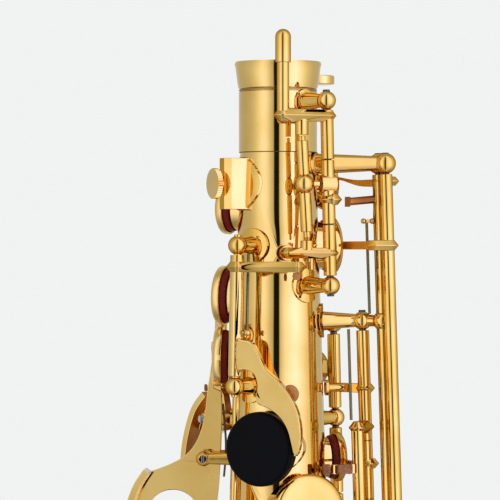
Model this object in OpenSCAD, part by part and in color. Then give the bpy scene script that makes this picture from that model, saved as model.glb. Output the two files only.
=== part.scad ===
// Straight saxophone body with the neck taken off.
// Millimetres, Z up from the bell rim, the player's thumb side toward -Y, angles run from -Y toward +X.

/* [Body] */
// Height from the bell rim to the mouth of the neck receiver
body_h = 560; // [550:1:580]
// Outside diameter of the tube just under the receiver
tube_top_d = 18.2; // [17.8:0.1:18.6]
// Gain in tube diameter for each millimetre down the body
tube_taper = 0.0615; // [0.06:0.0005:0.063]
// Thickness of the tube wall
wall = 0.7; // [0.5:0.05:0.9]
// Outside diameter of the bell rim
bell_d = 90; // [86:1:96]
// Height over which the bell flares out
flare_h = 70; // [66:1:72]
// Height of the seam between bell and body
seam_z = 112; // [111:0.5:114]

/* [Receiver] */
// Length of the receiver
receiver_h = 21.6; // [20.8:0.2:22.4]
// Outside diameter of the receiver sleeve
receiver_d = 18.8; // [18.6:0.1:19]
// Outside diameter of the flared mouth
mouth_d = 20.9; // [20.2:0.1:21.4]
// Diameter of the socket for the neck tenon
socket_d = 16.2; // [15.8:0.1:16.6]

/* [Keywork] */
// Outside diameter of the hinge tubes
hinge_d = 3.1; // [2.9:0.05:3.3]
// Diameter of the steel hinge rods
rod_d = 1.7; // [1.5:0.05:1.9]
// Radial running clearance of a hinge tube on its rod
run_gap = 0.05; // [0.02:0.01:0.09]
// End clearance between a hinge tube and its neighbour
end_gap = 0.3; // [0.2:0.05:0.5]
// Diameter of the balls on the posts
ball_d = 4.5; // [4.2:0.1:4.8]
// Diameter of the posts' feet
foot_d = 8.2; // [7.4:0.2:8.6]
// Width of the flat key arms
arm_w = 2.6; // [2.2:0.1:3]
// Thickness of the flat key arms
arm_t = 1.5; // [1.2:0.1:1.8]
// Gap left under a closed pad
pad_gap = 0.3; // [0.2:0.05:0.4]
// Length of the knurled head of the lyre screw
knurl_t = 1.3; // [1:0.1:1.6]

/* [Thumb] */
// Diameter of the thumb rest
rest_d = 17.6; // [16:0.2:18]
// Thickness of the thumb rest's edge
rest_t = 3.2; // [2.6:0.1:3.6]
// Thickness of the octave thumb paddle
paddle_t = 1.7; // [1.4:0.1:2]

/* [Hidden] */
$fn = 64;

gold = [0.83, 0.62, 0.27];
steel = [0.55, 0.56, 0.58];
black = [0.06, 0.06, 0.06];
leather = [0.35, 0.12, 0.09];
felt = [0.62, 0.36, 0.3];
cork = [0.56, 0.36, 0.22];
pearl = [0.93, 0.92, 0.88];

tube_top_z = body_h - receiver_h;
alpha = atan(tube_taper / 2);
rim_flare = bell_d / 2 - tube_r(0);
flare_power = 4.5;
lap_h = 2.4;
clamp_y = 13.2;
clamp_z = body_h - 3.6;

// Outside radius of the tube at a height
function tube_r(z) = tube_top_d / 2 + tube_taper / 2 * (tube_top_z - z);
// Height of a point given as a depth below the receiver's mouth
function dz(d) = body_h - d;
// Point at an angle and a distance from the axis
function polar(a, r) = [r * sin(a), -r * cos(a)];
// Outside radius of the bell at a height
function bell_r(z) = tube_r(z) + rim_flare * pow(max(0, flare_h - z) / flare_h, flare_power);
// A hinge is [angle, height of its reference point, distance from the wall]
function hinge_r(h, z) = tube_r(z) + h[2] / cos(alpha);
function hinge_xy(h, z) = polar(h[0], hinge_r(h, z));
// Rim height, cup height and radius that go with a tone hole of a diameter
function rim_h(d) = 0.3 + 0.05 * d;
function cup_h(d) = 1.7 + 0.05 * d;
function cup_r(d) = d / 2 + 1.9;
pad_proud = 1.6;
function cup_lift(d) = rim_h(d) + pad_gap + pad_proud;
// Outside distance of a closed cup's crown from the axis; a hole is [angle, height, diameter]
function crown_r(o) = tube_r(o[1]) + cup_lift(o[2]) + cup_h(o[2]);
function crown_xy(o) = polar(o[0], crown_r(o));

// Offset direction at one vertex of a path
function unit(v) = v / norm(v);
function left_of(v) = [-v[1], v[0]];
function vertex_normal(p, i) =
  let (n = len(p),
       a = i == 0 ? left_of(unit(p[1] - p[0])) : left_of(unit(p[i] - p[i - 1])),
       b = i == n - 1 ? a : left_of(unit(p[i + 1] - p[i])),
       m = unit(a + b))
  m / (m * a);
// Outline of a strip of thickness t along a path
function ribbon(p, t) = concat([for (i = [0 : len(p) - 1]) p[i] + vertex_normal(p, i) * t / 2],
  [for (i = [len(p) - 1 : -1 : 0]) p[i] - vertex_normal(p, i) * t / 2]);
// Smooth closed loop through hand-chosen points
function spline(a, b, c, d, t) = 0.5 * (2 * b + (c - a) * t + (2 * a - 5 * b + 4 * c - d) * t * t
  + (3 * b - a - 3 * c + d) * t * t * t);
function loop(p, k) = let (n = len(p)) [for (i = [0 : n - 1]) for (j = [0 : k - 1])
  spline(p[(i + n - 1) % n], p[i], p[(i + 1) % n], p[(i + 2) % n], j / k)];
// Smooth open path through hand-chosen points
function curve(p, k) = let (n = len(p)) concat([for (i = [0 : n - 2]) for (j = [0 : k - 1])
  spline(p[max(i - 1, 0)], p[i], p[i + 1], p[min(i + 2, n - 1)], j / k)], [p[n - 1]]);

// Tone holes: angle, height, diameter
hole_fsharp = [117, dz(29.3), 8.4];
hole_palm_f = [-112, dz(35), 9];
hole_high_e = [106, dz(44), 10];
hole_palm_eb = [-106, dz(56.2), 10.6];
hole_palm_d = [-93, dz(70.8), 10.6];
hole_side_c = [104, dz(95), 8.2];
hole_side_bb = [27, dz(107.3), 14.8];
hole_vent = [172, dz(95), 6];
hole_b = [172, dz(114), 13];
hole_bis = [172, dz(135), 12];
hole_a = [172, dz(157), 15];
hole_g = [172, dz(182), 16];
hole_gsharp = [-150, dz(207), 13];
hole_low_fs = [172, dz(237), 17];
hole_low_f = [172, dz(266), 19];
hole_low_e = [172, dz(297), 20];
hole_low_d = [172, dz(331), 21];
hole_low_eb = [95, dz(364), 20];
hole_low_c = [172, dz(400), 23];
hole_low_cs = [-90, dz(425), 22];
hole_low_b = [-160, 88, 25];
hole_low_bb = [-60, 52, 27];
body_holes = [hole_fsharp, hole_palm_f, hole_high_e, hole_palm_eb, hole_palm_d, hole_side_c, hole_side_bb,
  hole_vent, hole_b, hole_bis, hole_a, hole_g, hole_gsharp, hole_low_fs, hole_low_f, hole_low_e,
  hole_low_d, hole_low_eb, hole_low_c, hole_low_cs];
bell_holes = [hole_low_b, hole_low_bb];
pip = [9, dz(45.8), 1.6];

// Hinges: angle, reference height, distance of the axis from the wall
oct_h = [42, dz(53.5), 8.2];
thumb_h = [-38, dz(44), 5.9];
link_h = [-50, dz(100), 2.1];
high_e_h = [75, dz(24.5), 17.2];
fsharp_h = [81.7, dz(24.5), 15];
side_c_h = [86, dz(62), 9.9];
side_bb_h = [58, dz(110), 9];
upper_h = [134, dz(90), 8.6];
lower_h = [133, dz(240), 10.5];
gsharp_h = [-118, dz(200), 7];
eb_h = [128, dz(364), 10];
low_c_h = [134, dz(400), 11.5];
low_cs_h = [-52, dz(425), 10];
low_b_h = [-124, 88, 11];
low_bb_h = [-22, 52, 11];
// Height along the octave hinge of its posts and of the splits between its three tubes
oct_top = dz(9.8);
oct_low = dz(53.5);
oct_split_a = dz(23.8);
oct_split_b = dz(39.1);
oct_plate_a = dz(13.4);
oct_plate_b = dz(45.8);
rocker_z = dz(29.5);
// Posts along the other hinges
thumb_top = dz(44);
thumb_low = dz(77.3);
link_top = dz(65.4);
link_low = dz(121);
// How far open the sprung-open keys stand at rest, in degrees
stack_open = 13;
low_open = 11;
// Depths of two posts that end up close together, each from its hole and the run of the hinge past it
d_run = 14.4;
eb_run = 10.5;
d_post = body_h - hole_low_d[1] + d_run;
eb_post = body_h - hole_low_eb[1] - eb_run;

// Placement helpers
module on_wall(a, z) {
  rotate([0, 0, a]) translate([0, -tube_r(z), z]) rotate([-alpha, 0, 0]) children();
}
module off_wall(a, z) {
  rotate([alpha, 0, 0]) translate([0, tube_r(z), -z]) rotate([0, 0, -a]) children();
}
module at_hinge(h) {
  on_wall(h[0], h[1]) translate([0, -h[2], 0]) children();
}
// Turns a key drawn shut about its hinge
module swing(h, angle) {
  at_hinge(h) rotate([0, 0, angle]) translate([0, h[2], 0]) off_wall(h[0], h[1]) children();
}
module on_hinge(h, z0, z1, d) {
  at_hinge(h) translate([0, 0, (z0 - h[1] - h[2] * sin(alpha)) / cos(alpha)])
    cylinder(d = d, h = (z1 - z0) / cos(alpha), $fn = 40);
}
module hinge_bore(h, z0, z1) {
  on_hinge(h, z0 - 1, z1 + 1, rod_d + 2 * run_gap);
}
module tube_solid(grow) {
  cylinder(r1 = tube_r(0) + grow, r2 = tube_r(body_h) + grow, h = body_h, $fn = 96);
}
// Outward turned frame: children's +Z points away from the axis at an angle and height
module outward(a, z) {
  rotate([0, 0, a]) translate([0, 0, z]) rotate([90, 0, 0]) children();
}

// Flat strip at a height, along a path in the horizontal plane
module strip(path, z, w, t) {
  translate([0, 0, z - w / 2]) linear_extrude(w) polygon(ribbon(path, t));
}
// Plate standing in the radial plane, drawn in distance from the axis and height
module radial_plate(t) {
  rotate([90, 0, -90]) translate([0, 0, -t / 2]) linear_extrude(t) children();
}
// Lever plate with a bevelled edge all round, from point to point at a height
module bevel_bar(p, q, z, w, t) {
  span = q - p;
  translate([p[0], p[1], z]) rotate([0, 0, atan2(span[1], span[0])]) {
    bicone(w, t);
    translate([norm(span), 0, 0]) bicone(w, t);
    rotate([90, 0, 90]) linear_extrude(norm(span))
      polygon([[-w / 2, 0], [-w / 2 + t * 0.42, -t / 2], [w / 2 - t * 0.42, -t / 2], [w / 2, 0],
        [w / 2 - t * 0.42, t / 2], [-w / 2 + t * 0.42, t / 2]]);
  }
}
module bicone(w, t) {
  cylinder(d1 = w, d2 = w - 0.84 * t, h = t / 2, $fn = 40);
  mirror([0, 0, 1]) cylinder(d1 = w, d2 = w - 0.84 * t, h = t / 2, $fn = 40);
}

// Short length of the wall around a height, turned so that its seam is out of the way
module wall_part(a, z, grow) {
  rotate([0, 0, a]) translate([0, 0, z - 4.6])
    cylinder(r1 = bell_r(z - 4.6) + grow, r2 = bell_r(z + 4.6) + grow, h = 9.2, $fn = 96);
}
// Turned post from the wall to a hinge at a height, bored for the rod
module post(h, z, ball, foot) {
  r = hinge_r(h, z);
  s = bell_r(z);
  difference() {
    union() {
      intersection() {
        outward(h[0], z) translate([0, 0, s * 0.5]) cylinder(d = foot, h = s * 0.5 + 4, $fn = 40);
        wall_part(h[0], z, 0.6);
      }
      outward(h[0], z) {
        translate([0, 0, s - 1.2]) cylinder(d1 = ball * 1.02, d2 = ball * 0.68, h = r - s + 0.2, $fn = 40);
        translate([0, 0, r]) sphere(d = ball, $fn = 40);
      }
    }
    wall_part(h[0], z, 0);
    rod_hole(h, z - ball, z + ball);
  }
}
// Takes the tube out of a fitting
module seated() {
  difference() {
    children();
    tube_solid(0);
  }
}
module rod_hole(h, z0, z1) {
  on_hinge(h, z0, z1, rod_d + 0.02);
}

// Pad cup and pad, drawn outward along +Z with the cup's rim at zero
module cup_shell(d) {
  r = cup_r(d);
  h = cup_h(d);
  rotate_extrude() polygon([[0, 1.1], [r - 0.6, 1.1], [r - 0.6, 0], [r, 0], [r, h - 1], [r - 0.25, h - 0.55],
    [r - 0.8, h - 0.2], [r - 1.7, h - 0.05], [r * 0.5, h], [0, h + 0.05]]);
}
module pad_disc(d) {
  r = cup_r(d) - 0.7;
  rotate_extrude() polygon([[0, -pad_proud], [r - 0.5, -pad_proud], [r, -pad_proud + 0.4], [r, 1.05],
    [0, 1.05]]);
}
module at_cup(o) {
  on_wall(o[0], o[1]) rotate([90, 0, 0]) translate([0, 0, cup_lift(o[2])]) children();
}
// A finger key on a long hinge: tube, arm over the cup, cup
module stack_body(h, o, z0, z1) {
  hx = hinge_xy(h, o[1]);
  cx = crown_xy(o) * (1 + 0.4 / crown_r(o));
  m = polar((h[0] * 0.62 + o[0] * 0.38), crown_r(o) + 2.2);
  difference() {
    union() {
      on_hinge(h, z0, z1, hinge_d);
      strip(curve([hx, m, cx, cx * 0.9999 + unit(cx - m) * cup_r(o[2]) * 0.35], 5), o[1], arm_w + 1, arm_t);
      at_cup(o) cup_shell(o[2]);
    }
    hinge_bore(h, z0, z1);
  }
  at_cup(o) pad_disc(o[2]);
}
// Round holder for a pearl over a cup's crown
module pearl_cup(o, d) {
  at_cup(o) translate([0, 0, cup_h(o[2])]) difference() {
    union() {
      cylinder(d = d * 0.5, h = 1.4);
      translate([0, 0, 1.2]) cylinder(d = d + 1.6, h = 1.6);
    }
    translate([0, 0, 1.7]) cylinder(d = d + 0.1, h = 2);
  }
}
module pearl_disc(o, d) {
  at_cup(o) translate([0, 0, cup_h(o[2]) + 1.75]) intersection() {
    cylinder(d = d, h = 2);
    translate([0, 0, -d * 0.9]) sphere(r = d * 0.9 + 1.5, $fn = 80);
  }
}

// Tube and bell

module chimneys(holes) {
  for (o = holes) on_wall(o[0], o[1]) rotate([90, 0, 0]) translate([0, 0, -tube_r(o[1]) * 0.7])
    cylinder(d = o[2] + 1.6, h = tube_r(o[1]) * 0.7 + rim_h(o[2]));
}
module hole_cuts(holes) {
  for (o = holes) on_wall(o[0], o[1]) rotate([90, 0, 0]) translate([0, 0, -tube_r(o[1]) * 0.75])
    cylinder(d = o[2], h = tube_r(o[1]) * 0.75 + 20);
}
module body_tube() {
  top = tube_top_z + lap_h - 0.2;
  color(gold) difference() {
    union() {
      translate([0, 0, seam_z]) cylinder(r1 = tube_r(seam_z), r2 = tube_r(top), h = top - seam_z, $fn = 96);
      chimneys(body_holes);
    }
    translate([0, 0, seam_z - 1]) cylinder(r1 = tube_r(seam_z - 1) - wall, r2 = tube_r(top + 1) - wall,
      h = top + 2 - seam_z, $fn = 96);
    hole_cuts(body_holes);
    outward(pip[0], pip[1]) cylinder(d = pip[2] + 1.24, h = 20);
  }
}
module neck_receiver() {
  seat = tube_top_d / 2 + 0.02;
  color(gold) difference() {
    union() {
      rotate_extrude($fn = 96) polygon([[seat, tube_top_z], [receiver_d / 2, tube_top_z],
        [receiver_d / 2, body_h - 7.2], [receiver_d / 2 - 0.2, body_h - 7],
        [receiver_d / 2 - 0.2, body_h - 6.6],
        [receiver_d / 2 + 0.1, body_h - 6.3], [receiver_d / 2 + 0.35, body_h - 5],
        [mouth_d / 2 - 0.2, body_h - 1.2], [mouth_d / 2, body_h - 0.6], [mouth_d / 2 - 0.2, body_h],
        [socket_d / 2 + 0.4, body_h], [socket_d / 2, body_h - 0.5], [socket_d / 2, tube_top_z + lap_h],
        [seat, tube_top_z + lap_h]]);
      for (s = [-1, 1]) translate([s * 2 - 1.3, receiver_d / 2 - 0.6, clamp_z - 2.8]) cube([2.6, 7, 5.6]);
    }
    translate([-0.5, 5, body_h - 13]) cube([1, 20, 20]);
    translate([-20, clamp_y, clamp_z]) rotate([0, 90, 0]) cylinder(d = 2.5 + 2 * run_gap, h = 40);
  }
}
module bell() {
  steps = 14;
  heights = concat([for (i = [0 : steps]) flare_h * i / steps], [seam_z - 0.02]);
  color(gold) difference() {
    union() {
      rotate_extrude($fn = 96) polygon(concat([[0, 0]], [for (z = heights) [bell_r(z), z]],
        [[0, seam_z - 0.02]]));
      rotate_extrude($fn = 96) translate([bell_d / 2 - 0.9, 1.1]) circle(r = 1.1, $fn = 24);
      chimneys(bell_holes);
    }
    rotate_extrude($fn = 96) polygon(concat([[0, -1], [bell_r(0) - wall, -1]],
      [for (z = heights) [bell_r(z) - wall, z]], [[bell_r(seam_z) - wall, seam_z + 1], [0, seam_z + 1]]));
    hole_cuts(bell_holes);
  }
}
module bell_ring() {
  lo = seam_z - 3.5;
  hi = seam_z + 3.5;
  color(gold) rotate_extrude($fn = 96) polygon([[tube_r(lo) + 0.03, lo], [tube_r(lo) + 0.9, lo],
    [tube_r(lo) + 1.5, lo + 1.2], [tube_r(seam_z) + 1.7, seam_z], [tube_r(hi) + 1.5, hi - 1.2],
    [tube_r(hi) + 0.9, hi], [tube_r(hi) + 0.03, hi]]);
}

// Fittings fixed to the tube

lyre_z = dz(29.3);
lyre_a = -65;
module lyre_holder() {
  color(gold) difference() {
    union() {
      rotate([0, 0, lyre_a]) translate([0, 0, lyre_z - 6.1]) linear_extrude(12.2)
        polygon([[-2.6, -6], [2.6, -6], [2.6, -13.5], [1.3, -14.8], [-1.3, -14.8], [-2.6, -13.5]]);
      difference() {
        intersection() {
          outward(lyre_a - 2, lyre_z) cylinder(d = 12.8, h = 20);
          tube_solid(0.6);
        }
        rotate([0, 0, lyre_a - 13]) translate([-30, -30, lyre_z - 10]) cube([30, 30, 20]);
      }
    }
    tube_solid(0);
    rotate([0, 0, lyre_a]) translate([-1.6, -12.8, lyre_z - 10]) cube([3.2, 2.2, 20]);
    outward(lyre_a, lyre_z) translate([0, 0, 11]) cylinder(d = 2 + 2 * run_gap, h = 10);
  }
}
module lyre_screw() {
  teeth = 40;
  color(gold) outward(lyre_a, lyre_z) {
    translate([0, 0, 13]) cylinder(d = 2, h = 3);
    translate([0, 0, 15.1]) cylinder(d = 3.6, h = 1);
    translate([0, 0, 16]) linear_extrude(knurl_t)
      polygon([for (i = [0 : 2 * teeth - 1])
        (3.65 - (i % 2) * 0.22) * [cos(i * 180 / teeth), sin(i * 180 / teeth)]]);
  }
}
module clamp_screw() {
  color(gold) translate([0, clamp_y, clamp_z]) {
    translate([-4.4, 0, 0]) rotate([0, 90, 0]) cylinder(d = 2.5, h = 10);
    translate([3.7, 0, 0]) rotate([0, 90, 0]) cylinder(d = 3.6, h = 3);
    translate([9.9, 0, -1.1]) cylinder(d = 8, h = 2.2);
  }
}
module octave_pip() {
  color(gold) difference() {
    union() {
      outward(pip[0], pip[1]) translate([0, 0, tube_r(pip[1]) - wall - 0.4])
        cylinder(d = pip[2] + 1.2, h = wall + 2, $fn = 32);
      difference() {
        outward(pip[0], pip[1]) translate([0, 0, tube_r(pip[1]) - 0.6]) cylinder(d = 4.4, h = 1.2, $fn = 32);
        tube_solid(0);
      }
    }
    outward(pip[0], pip[1]) cylinder(d = pip[2], h = 30, $fn = 32);
  }
}
module octave_posts() {
  z = oct_top;
  r = hinge_r(oct_h, z);
  color(gold) {
    difference() {
      union() {
        intersection() {
          outward(oct_h[0], z) cylinder(d = 6, h = 14, $fn = 40);
          translate([0, 0, z - 10]) cylinder(d = receiver_d + 1.1, h = 20);
        }
        outward(oct_h[0], z) {
          translate([0, 0, receiver_d / 2 - 1])
            cylinder(d1 = ball_d, d2 = ball_d * 0.68, h = r - receiver_d / 2, $fn = 40);
          translate([0, 0, r]) sphere(d = ball_d, $fn = 40);
        }
      }
      translate([0, 0, z - 12]) cylinder(d = receiver_d, h = 24);
      rod_hole(oct_h, oct_low - 5, oct_top + 5);
    }
    post(oct_h, oct_low, ball_d, foot_d);
    post(thumb_h, thumb_top, ball_d, foot_d);
    post(thumb_h, thumb_low, ball_d, foot_d);
    post(link_h, link_low, 3.2, 5.4);
    post(link_h, link_top, 3.2, 5.4);
  }
}
module rest_base() {
  color(gold) difference() {
    union() {
      outward(rest_a, rest_z) translate([rest_x, 0, 0]) cylinder(d = 9, h = rest_r - rest_t);
      intersection() {
        outward(rest_a, rest_z) translate([rest_x, 0, 0]) cylinder(d = 13, h = 20);
        tube_solid(0.8);
      }
    }
    tube_solid(0);
  }
}
rest_a = -27.5;
rest_z = dz(91.9);
rest_x = 3.6;
rest_r = 17.6;
module thumb_rest() {
  r = rest_d / 2;
  color(black) outward(rest_a, rest_z) translate([rest_x, 0, rest_r - rest_t]) rotate_extrude()
    polygon([[0, 0], [r - 0.5, 0], [r, 0.5], [r, rest_t - 0.9], [r - 0.25, rest_t - 0.4],
      [r - 0.8, rest_t - 0.1],
      [r - 1.8, rest_t + 0.05], [r * 0.5, rest_t + 0.3], [0, rest_t + 0.4]]);
}
hook_z = dz(300);
module thumb_hook() {
  s = tube_r(hook_z);
  color(gold) seated() {
    intersection() {
      outward(0, hook_z) translate([-7, -12, 0]) cube([14, 24, s + 6]);
      tube_solid(1.4);
    }
    translate([0, 0, hook_z - 4]) linear_extrude(8)
      polygon(ribbon(curve([[0, -s + 1], [0, -s - 5], [2, -s - 11], [9, -s - 17], [17, -s - 17],
        [22, -s - 13]], 5), 3));
  }
}
ring_z = dz(238);
module strap_ring() {
  s = tube_r(ring_z);
  color(gold) {
    seated() {
      intersection() {
        outward(0, ring_z) cylinder(d = 11, h = s + 6);
        tube_solid(1);
      }
      outward(0, ring_z) translate([0, 0, s - 1.5]) cylinder(d1 = 6, d2 = 4, h = 3.4);
    }
    translate([0, -s - 8.2, ring_z]) rotate([0, 90, 0]) rotate_extrude() translate([6.6, 0])
      circle(d = 2.4, $fn = 32);
  }
}

// Octave mechanism

pin_xy = [1.05, -16];
boss_xy = [5.5, -14.57];
rock_top = [5.45, -14.55, dz(18.3)];
rock_low = [6.75, -14.5, dz(42.2)];
function on_rocker(z) = rock_low + (rock_top - rock_low) * (z - rock_low[2]) / (rock_top[2] - rock_low[2]);
// Round bar between two points in space
module bar3(p, q, d) {
  v = q - p;
  translate(p) rotate([0, acos(v[2] / norm(v)), atan2(v[1], v[0])]) cylinder(d = d, h = norm(v), $fn = 40);
}
module octave_neck_lever() {
  h = hinge_xy(oct_h, oct_plate_a);
  z = oct_plate_a;
  color(gold) difference() {
    union() {
      on_hinge(oct_h, oct_split_a + end_gap / 2, oct_top - ball_d / 2 + 0.2 - end_gap, hinge_d);
      bevel_bar(h, pin_xy, z, 4.6, 2.9);
      translate([pin_xy[0], pin_xy[1], z]) cylinder(d = 2.9, h = 13);
      translate([pin_xy[0], pin_xy[1], z + 12.4]) cylinder(d = 3.7, h = 6, $fn = 40);
      translate([pin_xy[0], pin_xy[1], z + 18.4]) sphere(d = 3.7, $fn = 40);
      translate([boss_xy[0], boss_xy[1], z - 4.6]) cylinder(d = 3.1, h = 4, $fn = 40);
    }
    hinge_bore(oct_h, oct_split_a, oct_top);
  }
}
module octave_carrier() {
  h = hinge_xy(oct_h, rocker_z);
  c = hinge_xy(oct_h, dz(33.2));
  p = on_rocker(rocker_z);
  v = unit([p[0], p[1]] - h);
  color(gold) difference() {
    union() {
      on_hinge(oct_h, oct_split_b + end_gap / 2, oct_split_a - end_gap / 2, hinge_d);
      translate([h[0], h[1], rocker_z]) rotate([0, 0, atan2(v[1], v[0])]) rotate([0, 90, 0]) {
        translate([0, 0, -1.7]) cylinder(d = 4.3, h = 3.6, $fn = 40);
        translate([0, 0, -2.3]) cylinder(d1 = 3, d2 = 4.3, h = 0.6, $fn = 40);
      }
      bevel_bar(c, c + [0.9, -0.1], dz(33.2), 4.6, 2.6);
    }
    hinge_bore(oct_h, oct_split_b, oct_split_a);
    translate([h[0] + v[0] * 1.1, h[1] + v[1] * 1.1, rocker_z]) rotate([0, 0, atan2(v[1], v[0])])
      rotate([0, 90, 0])
      cylinder(d = 1.5 + 2 * run_gap, h = 3, $fn = 32);
  }
}
module octave_rocker() {
  h = hinge_xy(oct_h, rocker_z);
  p = on_rocker(rocker_z);
  v = unit([p[0], p[1]] - h);
  color(gold) {
    bar3(rock_low, on_rocker(dz(20)), 1.7);
    bar3(on_rocker(dz(20.4)), rock_top, 1.7);
    bar3(on_rocker(dz(40.8)), on_rocker(dz(31.7)), 2.9);
    bar3(on_rocker(dz(27.4)), on_rocker(dz(19.4)), 2.9);
    translate(p) sphere(d = 4.6, $fn = 40);
    bar3([h[0] + v[0] * 1.3, h[1] + v[1] * 1.3, rocker_z], p, 1.5);
  }
}
module octave_body_lever() {
  z = oct_plate_b;
  h = hinge_xy(oct_h, z);
  s = tube_r(z) + 1.6 + pad_gap;
  q = polar(pip[0], s + 3.3);
  m = q + (h - q) * 0.5;
  color(gold) difference() {
    union() {
      on_hinge(oct_h, oct_low + ball_d / 2 - 0.2 + end_gap, oct_split_b - end_gap / 2, hinge_d);
      bevel_bar(h, q, z, 4.4, 2.5);
      outward(pip[0], z) translate([0, 0, s + 0.6]) cylinder(d = 3.7, h = 1.6, $fn = 40);
      translate([6.7, -14.35, z]) cylinder(d = 3.1, h = 2.9, $fn = 40);
      translate([7.6, m[1] + 0.3, z - 4]) cylinder(d = 1.4, h = 4, $fn = 32);
    }
    hinge_bore(oct_h, oct_low, oct_split_b);
  }
  color(leather) outward(pip[0], z) translate([0, 0, s]) cylinder(d = 3.4, h = 0.58, $fn = 40);
}
module octave_thumb_lever() {
  z = dz(49.1);
  h = hinge_xy(thumb_h, z);
  k = hinge_xy(thumb_h, dz(75));
  g = hinge_xy(thumb_h, thumb_bead[2]);
  tip = [4.4, -17];
  color(gold) difference() {
    union() {
      on_hinge(thumb_h, thumb_low + ball_d / 2 - 0.2 + end_gap, thumb_top - ball_d / 2 + 0.2 - end_gap,
        hinge_d + 0.2);
      translate([h[0], h[1], z]) bicone(5.4, 2.5);
      bevel_bar(h, tip, z, 4.2, 2.5);
      bar3([g[0], g[1], thumb_bead[2]], thumb_bead, 0.9);
      translate(thumb_bead) sphere(d = 1.5, $fn = 32);
      translate([k[0], k[1], 0]) rotate([0, 0, rest_a]) rotate([90, 0, 0])
        linear_extrude(paddle_t) polygon(loop(paddle_pts, 4));
    }
    hinge_bore(thumb_h, thumb_low, thumb_top);
  }
  color(felt) {
    translate([tip[0] - 0.2, tip[1] + 0.1, z - 3.07]) cylinder(d = 2, h = 1.8, $fn = 32);
    translate([k[0], k[1], 0]) rotate([0, 0, rest_a]) rotate([90, 0, 0]) translate([14.2, dz(78.8), -1.62])
      cylinder(d = 4.4, h = 1.6, $fn = 40);
  }
}
// Bead that the thumb lever's needle spring bears on
thumb_bead = [-7.4, -14, dz(64.6)];
paddle_pts = [[1.2, dz(66.5)], [2.8, dz(66.2)], [5.4, dz(67)], [7.1, dz(69.8)], [8.9, dz(73)], [12, dz(75.5)],
  [15, dz(78.8)], [17.2, dz(83)], [18, dz(87.6)], [17.6, dz(91.6)], [16.4, dz(93.2)], [15.6, dz(90.6)],
  [14.6, dz(87.2)], [12.6, dz(84.2)], [9.6, dz(82.2)], [7, dz(81.3)], [6.2, dz(79.6)], [6.7, dz(76.8)],
  [5.6, dz(74)], [3, dz(73.2)], [1.2, dz(73.2)]];

// Palm keys: frame angle, distance and height of the pivot

palm_d = [-93, 17.6, dz(94.9)];
palm_eb = [-131, 17.9, dz(86)];
palm_f = [-166, 15, dz(77.4)];
palm_half = 3.7;
palm_ball = 3.6;
palm_x = 5.6;
module palm_frame(k) {
  rotate([0, 0, k[0]]) children();
}
module palm_pivot_bore(k, d) {
  palm_frame(k) translate([-20, -k[1], k[2]]) rotate([0, 90, 0]) cylinder(d = d, h = 40, $fn = 32);
}
module palm_barrel(k) {
  palm_frame(k) translate([-palm_half, -k[1], k[2]]) rotate([0, 90, 0])
    cylinder(d = 3.6, h = 2 * palm_half, $fn = 40);
}
module palm_touch(k, path, w) {
  palm_frame(k) radial_plate(w) polygon(ribbon(curve(path, 4), 1.7));
}
module palm_posts() {
  color(gold) difference() {
    seated() for (k = [palm_d, palm_eb, palm_f]) for (x = [-palm_x, palm_x]) {
      palm_frame(k) translate([x, 0, k[2]]) rotate([90, 0, 0]) {
        translate([0, 0, 6]) cylinder(d1 = 3.6, d2 = 2.4, h = k[1] - 6, $fn = 32);
        translate([0, 0, k[1]]) sphere(d = palm_ball, $fn = 40);
      }
      intersection() {
        palm_frame(k) translate([x, 0, k[2]]) rotate([90, 0, 0]) translate([0, 0, 4])
          cylinder(d = 5.4, h = 14, $fn = 40);
        tube_solid(0.5);
      }
    }
    for (k = [palm_d, palm_eb, palm_f]) palm_pivot_bore(k, rod_d + 0.02);
  }
}
module palm_pivots() {
  color(steel) for (k = [palm_d, palm_eb, palm_f]) palm_frame(k) translate([0, -k[1], k[2]]) difference() {
    union() {
      translate([-palm_x - 1.5, 0, 0]) rotate([0, 90, 0]) cylinder(d = rod_d, h = 2 * palm_x + 3.3, $fn = 32);
      translate([palm_x + 1.65, 0, 0]) rotate([0, 90, 0]) cylinder(d = 1.9, h = 0.6, $fn = 32);
    }
    translate([palm_x + 1.95, -0.2, -3]) cube([2, 0.4, 6]);
  }
}
module palm_d_key() {
  k = palm_d;
  o = hole_palm_d;
  t = crown_r(o) - 0.25;
  color(gold) difference() {
    union() {
      palm_frame(k) radial_plate(2.4) difference() {
        polygon(concat(curve([[t, dz(67.2)], [t + 0.7, dz(67.6)], [15.9, dz(72)], [16.8, dz(78)],
          [17.5, dz(84)],
          [18.4, dz(88.2)], [20, dz(91.8)], [22.5, dz(94.6)], [26, dz(96.6)], [29.6, dz(98)], [32, dz(99)],
          [34, dz(103)], [35.5, dz(109)], [35.6, dz(116)], [33.6, dz(122)]], 3),
          curve([[29, dz(124.6)], [23, dz(123)], [18.4, dz(118)], [15.6, dz(111)], [14.4, dz(104)],
            [13.8, dz(96)],
          [13.4, dz(86)], [13.6, dz(79)]], 3), [[t, dz(78.2)]]));
        translate([25.2, dz(109)]) circle(r = 6.3);
      }
      palm_barrel(k);
      at_cup(o) cup_shell(o[2]);
    }
    palm_pivot_bore(k, rod_d + 2 * run_gap);
  }
  color(gold) difference() {
    palm_touch(k, [[31.4, dz(98.2)], [34, dz(102.4)], [36, dz(109)], [36.2, dz(116.4)], [34, dz(123)]], 10);
    palm_pivot_bore(k, 0.1);
  }
  color(cork) palm_frame(k) translate([0, -16.95, dz(78.2)]) rotate([90, 0, 0])
    cylinder(d = 1.8, h = 0.8, $fn = 32);
  color(steel) palm_frame(k) {
    translate([0, -18.14, dz(85.9)]) rotate([90, 0, 0]) cylinder(d = 1.7, h = 0.6, $fn = 32);
    radial_plate(0.9) polygon(ribbon(curve([[13.2, dz(82)], [12.9, dz(86)], [12.55, dz(90.6)], [12.6, dz(95)],
      [13, dz(99.6)]], 4), 0.5));
  }
}
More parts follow.
